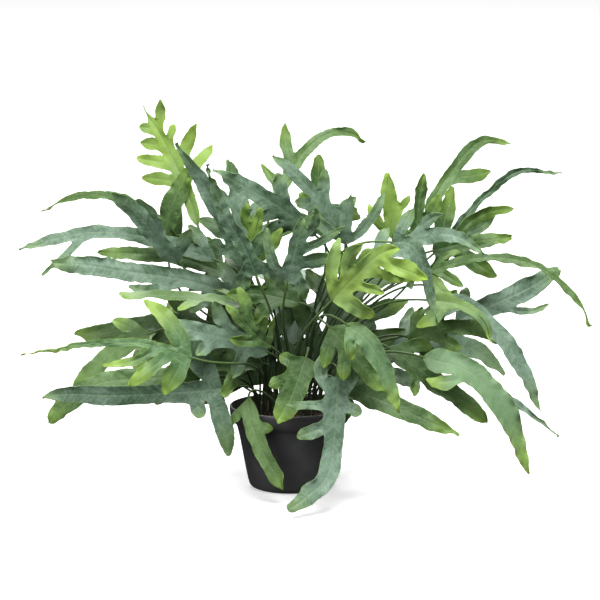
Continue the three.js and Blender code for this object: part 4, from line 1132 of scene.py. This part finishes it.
def turned(outline, steps):
    """An outline of radius and height, from axis to axis, turned round the Z axis."""
    turns = np.arange(steps) * 2 * math.pi / steps
    radius, height = outline[1:-1, :1], outline[1:-1, 1:]
    rings = np.stack([radius * np.cos(turns), radius * np.sin(turns), height + 0 * turns], -1)
    ids = np.arange(len(rings) * steps).reshape(-1, steps)
    after = np.roll(ids, -1, 1)
    faces = ring_faces(ids).tolist()
    faces += [(ids.size, b, a) for a, b in zip(ids[0], after[0])]
    faces += [(ids.size + 1, a, b) for a, b in zip(ids[-1], after[-1])]
    ends = [[0, 0, outline[0, 1]], [0, 0, outline[-1, 1]]]
    return np.vstack([rings.reshape(-1, 3), ends]), faces


def cut_drains(pot):
    """Round holes in the pot's floor."""
    for i in range(DRAIN_COUNT):
        a = 2 * math.pi * i / DRAIN_COUNT
        place = Vector((DRAIN_CIRCLE * math.cos(a), DRAIN_CIRCLE * math.sin(a), 0)) * MM
        bpy.ops.mesh.primitive_cylinder_add(vertices=DRAIN_SIDES, radius=DRAIN_RADIUS * MM,
                                            depth=8 * WALL * MM, location=place)
        drill = bpy.context.object
        cut = pot.modifiers.new("drain", "BOOLEAN")
        cut.operation = "DIFFERENCE"
        cut.object = drill
        scene = bpy.context.evaluated_depsgraph_get()
        drilled = bpy.data.meshes.new_from_object(pot.evaluated_get(scene))
        pot.modifiers.clear()
        pot.data = drilled
        bpy.data.objects.remove(drill)


def make_pot():
    outside, inside = cut_corners(pot_line(0)), cut_corners(pot_line(WALL)[:-2])
    mouth = RIM_RADIUS - RIM_ROUND - WALL
    rim = [[mouth, POT_HEIGHT], [mouth, COLLAR_BOTTOM + HIDDEN_RIM]]
    outline = np.vstack([[[0, 0]], outside, rim, inside[::-1], [[0, WALL]]])
    points, faces = turned(outline, POT_STEPS)
    pot = mesh_object("pot_fine", points, faces, pot_material())
    cut_drains(pot)
    add_piece(pot, "pot", "pot")


def lumps(points):
    return sum(height * ripple(points, size, LUMP_SEED + size) for size, height in SOIL_LUMPS)


def turn_about_z(angle):
    return np.array([[math.cos(angle), -math.sin(angle), 0], [math.sin(angle), math.cos(angle), 0],
                     [0, 0, 1]])


def make_chips(rng):
    """Crumbs and bark chips: small crooked blocks that lie on the surface."""
    radius = (SOIL_RADIUS - WALL - CHIP_MARGIN) * np.sqrt(rng.uniform(0, 1, CHIPS))
    turn = rng.uniform(0, 2 * math.pi, CHIPS)
    places = np.column_stack([radius * np.cos(turn), radius * np.sin(turn), 0 * turn + SOIL_TOP])
    places[:, 2] += lumps(places)
    points, facts = [], []
    for place in places:
        size = rng.uniform(*CHIP_SIZES)
        size = size * np.array([rng.uniform(*CHIP_STRETCH), 1, rng.uniform(*CHIP_FLATNESS)])
        shape = CHIP_CORNERS * size * rng.uniform(*CHIP_CROOK, (6, 1))
        tilt = Vector(rng.normal(size=3) * CHIP_TILT).normalized()
        turn_to = np.array(Vector((0, 0, 1)).rotation_difference(tilt).to_matrix())
        flat = turn_about_z(rng.uniform(0, 2 * math.pi))
        points.append(shape @ flat.T @ turn_to.T + place)
        facts.append(np.tile([rng.uniform(), rng.uniform(), 0], (6, 1)))
    faces = CHIP_SIDES + 6 * np.arange(CHIPS)[:, None, None]
    return np.vstack(points), faces.reshape(-1, 3), np.vstack(facts)


def make_soil():
    inset = WALL + SEAT_GAP
    wall = cut_corners(pot_line(inset)[:-3])
    radius = np.linspace(SOIL_RADIUS - inset, 0, SOIL_RINGS + 1)[:-1]
    top = np.column_stack([radius, 0 * radius + SOIL_TOP])
    outline = np.vstack([[[0, inset]], wall, top, [[0, SOIL_TOP]]])
    body, faces = turned(outline, SOIL_STEPS)
    heap = body[len(wall) * SOIL_STEPS:-2]
    heap[:, 2] += lumps(heap)
    body[-1, 2] = heap[-SOIL_STEPS:, 2].mean()
    chips, chip_faces, facts = make_chips(np.random.default_rng(SOIL_SEED))
    faces += (chip_faces + len(body)).tolist()
    columns = {"chip": np.vstack([0 * body, facts])}
    soil = mesh_object("soil_fine", np.vstack([body, chips]), faces, soil_material(), columns)
    add_piece(soil, "soil", "soil")


def rhizome_swell(share):
    """The creeping stem's radius, full in the middle and closed at its ends."""
    return RHIZOME_RADIUS * (1 - np.abs(share) ** 3) ** 0.5


def scale_leaf(rng, place, angle):
    """A small pointed scale that lies along the rhizome."""
    out = np.array([math.cos(angle), math.sin(angle), 0])
    side = np.array([-math.sin(angle), math.cos(angle), 0])
    ahead = np.array([0, 0, rng.choice([-1, 1])]) + side * rng.normal() * SCALE_SWAY
    foot = out * rhizome_swell(place) + np.array([0, 0, place * RHIZOME_LENGTH / 2])
    half = side * SCALE_WIDTH * rng.uniform(*SCALE_SIZES) / 2
    along = ahead * SCALE_LENGTH * rng.uniform(*SCALE_SIZES)
    middle = foot + (along + out) * SCALE_MIDDLE
    tip = foot + along + out * rng.uniform(*SCALE_LIFT)
    keel = middle - out * SCALE_KEEL
    corners = [foot - half, foot + half, middle + half, tip, middle - half, keel]
    turn = -1 if ahead[2] < 0 else 1
    return corners, [face[::turn] for face in SCALE_SIDES]


def make_rhizome(i, turn):
    """A creeping stem, thick in the middle and covered in small pointed scales."""
    share = np.linspace(-1, 1, RHIZOME_RINGS + 2)
    outline = np.column_stack([rhizome_swell(share), share * RHIZOME_LENGTH / 2])
    points, faces = turned(outline, RHIZOME_SIDES)
    rng = np.random.default_rng(RHIZOME_SEED + i)
    places = rng.uniform(-SCALE_REACH, SCALE_REACH, SCALES)
    angles = rng.uniform(0, 2 * math.pi, SCALES)
    for place, angle in zip(places, angles):
        corners, sides = scale_leaf(rng, place, angle)
        faces += [tuple(len(points) + k for k in side) for side in sides]
        points = np.vstack([points, corners])
    points = points @ np.array([[1, 0, 0], [0, 0, 1], [0, -1, 0]])
    a = math.radians(turn)
    middle = np.array([RHIZOME_CIRCLE * math.cos(a), RHIZOME_CIRCLE * math.sin(a), SOIL_TOP])
    points = points @ turn_about_z(a).T + middle
    made = mesh_object(f"rhizome_{i + 1}_fine", points, faces, rhizome_material())
    add_piece(made, "rhizome", f"rhizome_{i + 1}")


# Floor, light and camera
FLOOR_SIZE = 40
FLOOR_GLOW = 0.5
LIGHTS = (
    ("key", (0.3, -1.6, 3.6), 2.0, 150),
    ("fill", (-1.4, -3.0, 1.4), 2.4, 38),
    ("back", (-0.3, 2.2, 2.9), 1.8, 125),
)
LAMP_TARGET = (0, 0, 0.2)
WHITE = (1, 1, 1, 1)
SKY_FROM = -0.2
SKY_STRENGTH = (0.05, 0.36)


def make_sky():
    """Light from all round that is strong overhead and weak from below."""
    world = bpy.data.worlds.new("studio")
    bpy.context.scene.world = world
    world.use_nodes = True
    nodes, links = world.node_tree.nodes, world.node_tree.links
    way = nodes.new("ShaderNodeTexCoord")
    height = nodes.new("ShaderNodeSeparateXYZ")
    links.new(way.outputs["Generated"], height.inputs[0])
    strength = nodes.new("ShaderNodeMapRange")
    strength.inputs["From Min"].default_value = SKY_FROM
    strength.inputs["To Min"].default_value, strength.inputs["To Max"].default_value = SKY_STRENGTH
    links.new(height.outputs["Z"], strength.inputs["Value"])
    links.new(strength.outputs["Result"], nodes["Background"].inputs["Strength"])
    nodes["Background"].inputs["Color"].default_value = WHITE


def make_stage():
    bpy.ops.mesh.primitive_plane_add(size=FLOOR_SIZE)
    floor = bpy.context.object
    floor.name = "floor"
    shader = Shader("floor_white")
    floor.data.materials.append(shader.finish(
        Base_Color=(0.8, 0.8, 0.8, 1), Roughness=0.9,
        Emission_Color=WHITE, Emission_Strength=FLOOR_GLOW))
    floor.visible_diffuse = False
    floor.visible_glossy = False
    make_sky()
    for name, place, size, power in LIGHTS:
        lamp = bpy.data.lights.new(name, "AREA")
        lamp.shape = "DISK"
        lamp.size = size
        lamp.energy = power
        made = bpy.data.objects.new(name, lamp)
        made.location = place
        towards = Vector(LAMP_TARGET) - Vector(place)
        made.rotation_euler = towards.to_track_quat("-Z", "Y").to_euler()
        bpy.context.scene.collection.objects.link(made)
    bpy.context.scene.view_settings.view_transform = "Standard"


def make_camera():
    target = Vector(CAMERA_TARGET) * MM
    tilt = math.radians(CAMERA_ELEVATION)
    away = Vector((0, -math.cos(tilt), math.sin(tilt))) * CAMERA_DISTANCE * MM
    data = bpy.data.cameras.new("camera")
    data.sensor_width = SENSOR_WIDTH
    data.lens = SENSOR_WIDTH * CAMERA_DISTANCE / (MM_PER_PIXEL * IMAGE_SIZE)
    camera = bpy.data.objects.new("camera", data)
    camera.location = target + away
    camera.rotation_euler = (-away).to_track_quat("-Z", "Y").to_euler()
    bpy.context.scene.collection.objects.link(camera)
    bpy.context.scene.camera = camera


make_camera()
make_stage()
LEAF_MATERIALS = {colour: leaf_material(colour) for colour in LEAF_COLOURS}
for frond in make_fronds():
    fine_frond(frond, LEAF_MATERIALS[frond.colour])
make_pot()
make_soil()
for i, turn in enumerate(RHIZOME_TURNS):
    make_rhizome(i, turn)
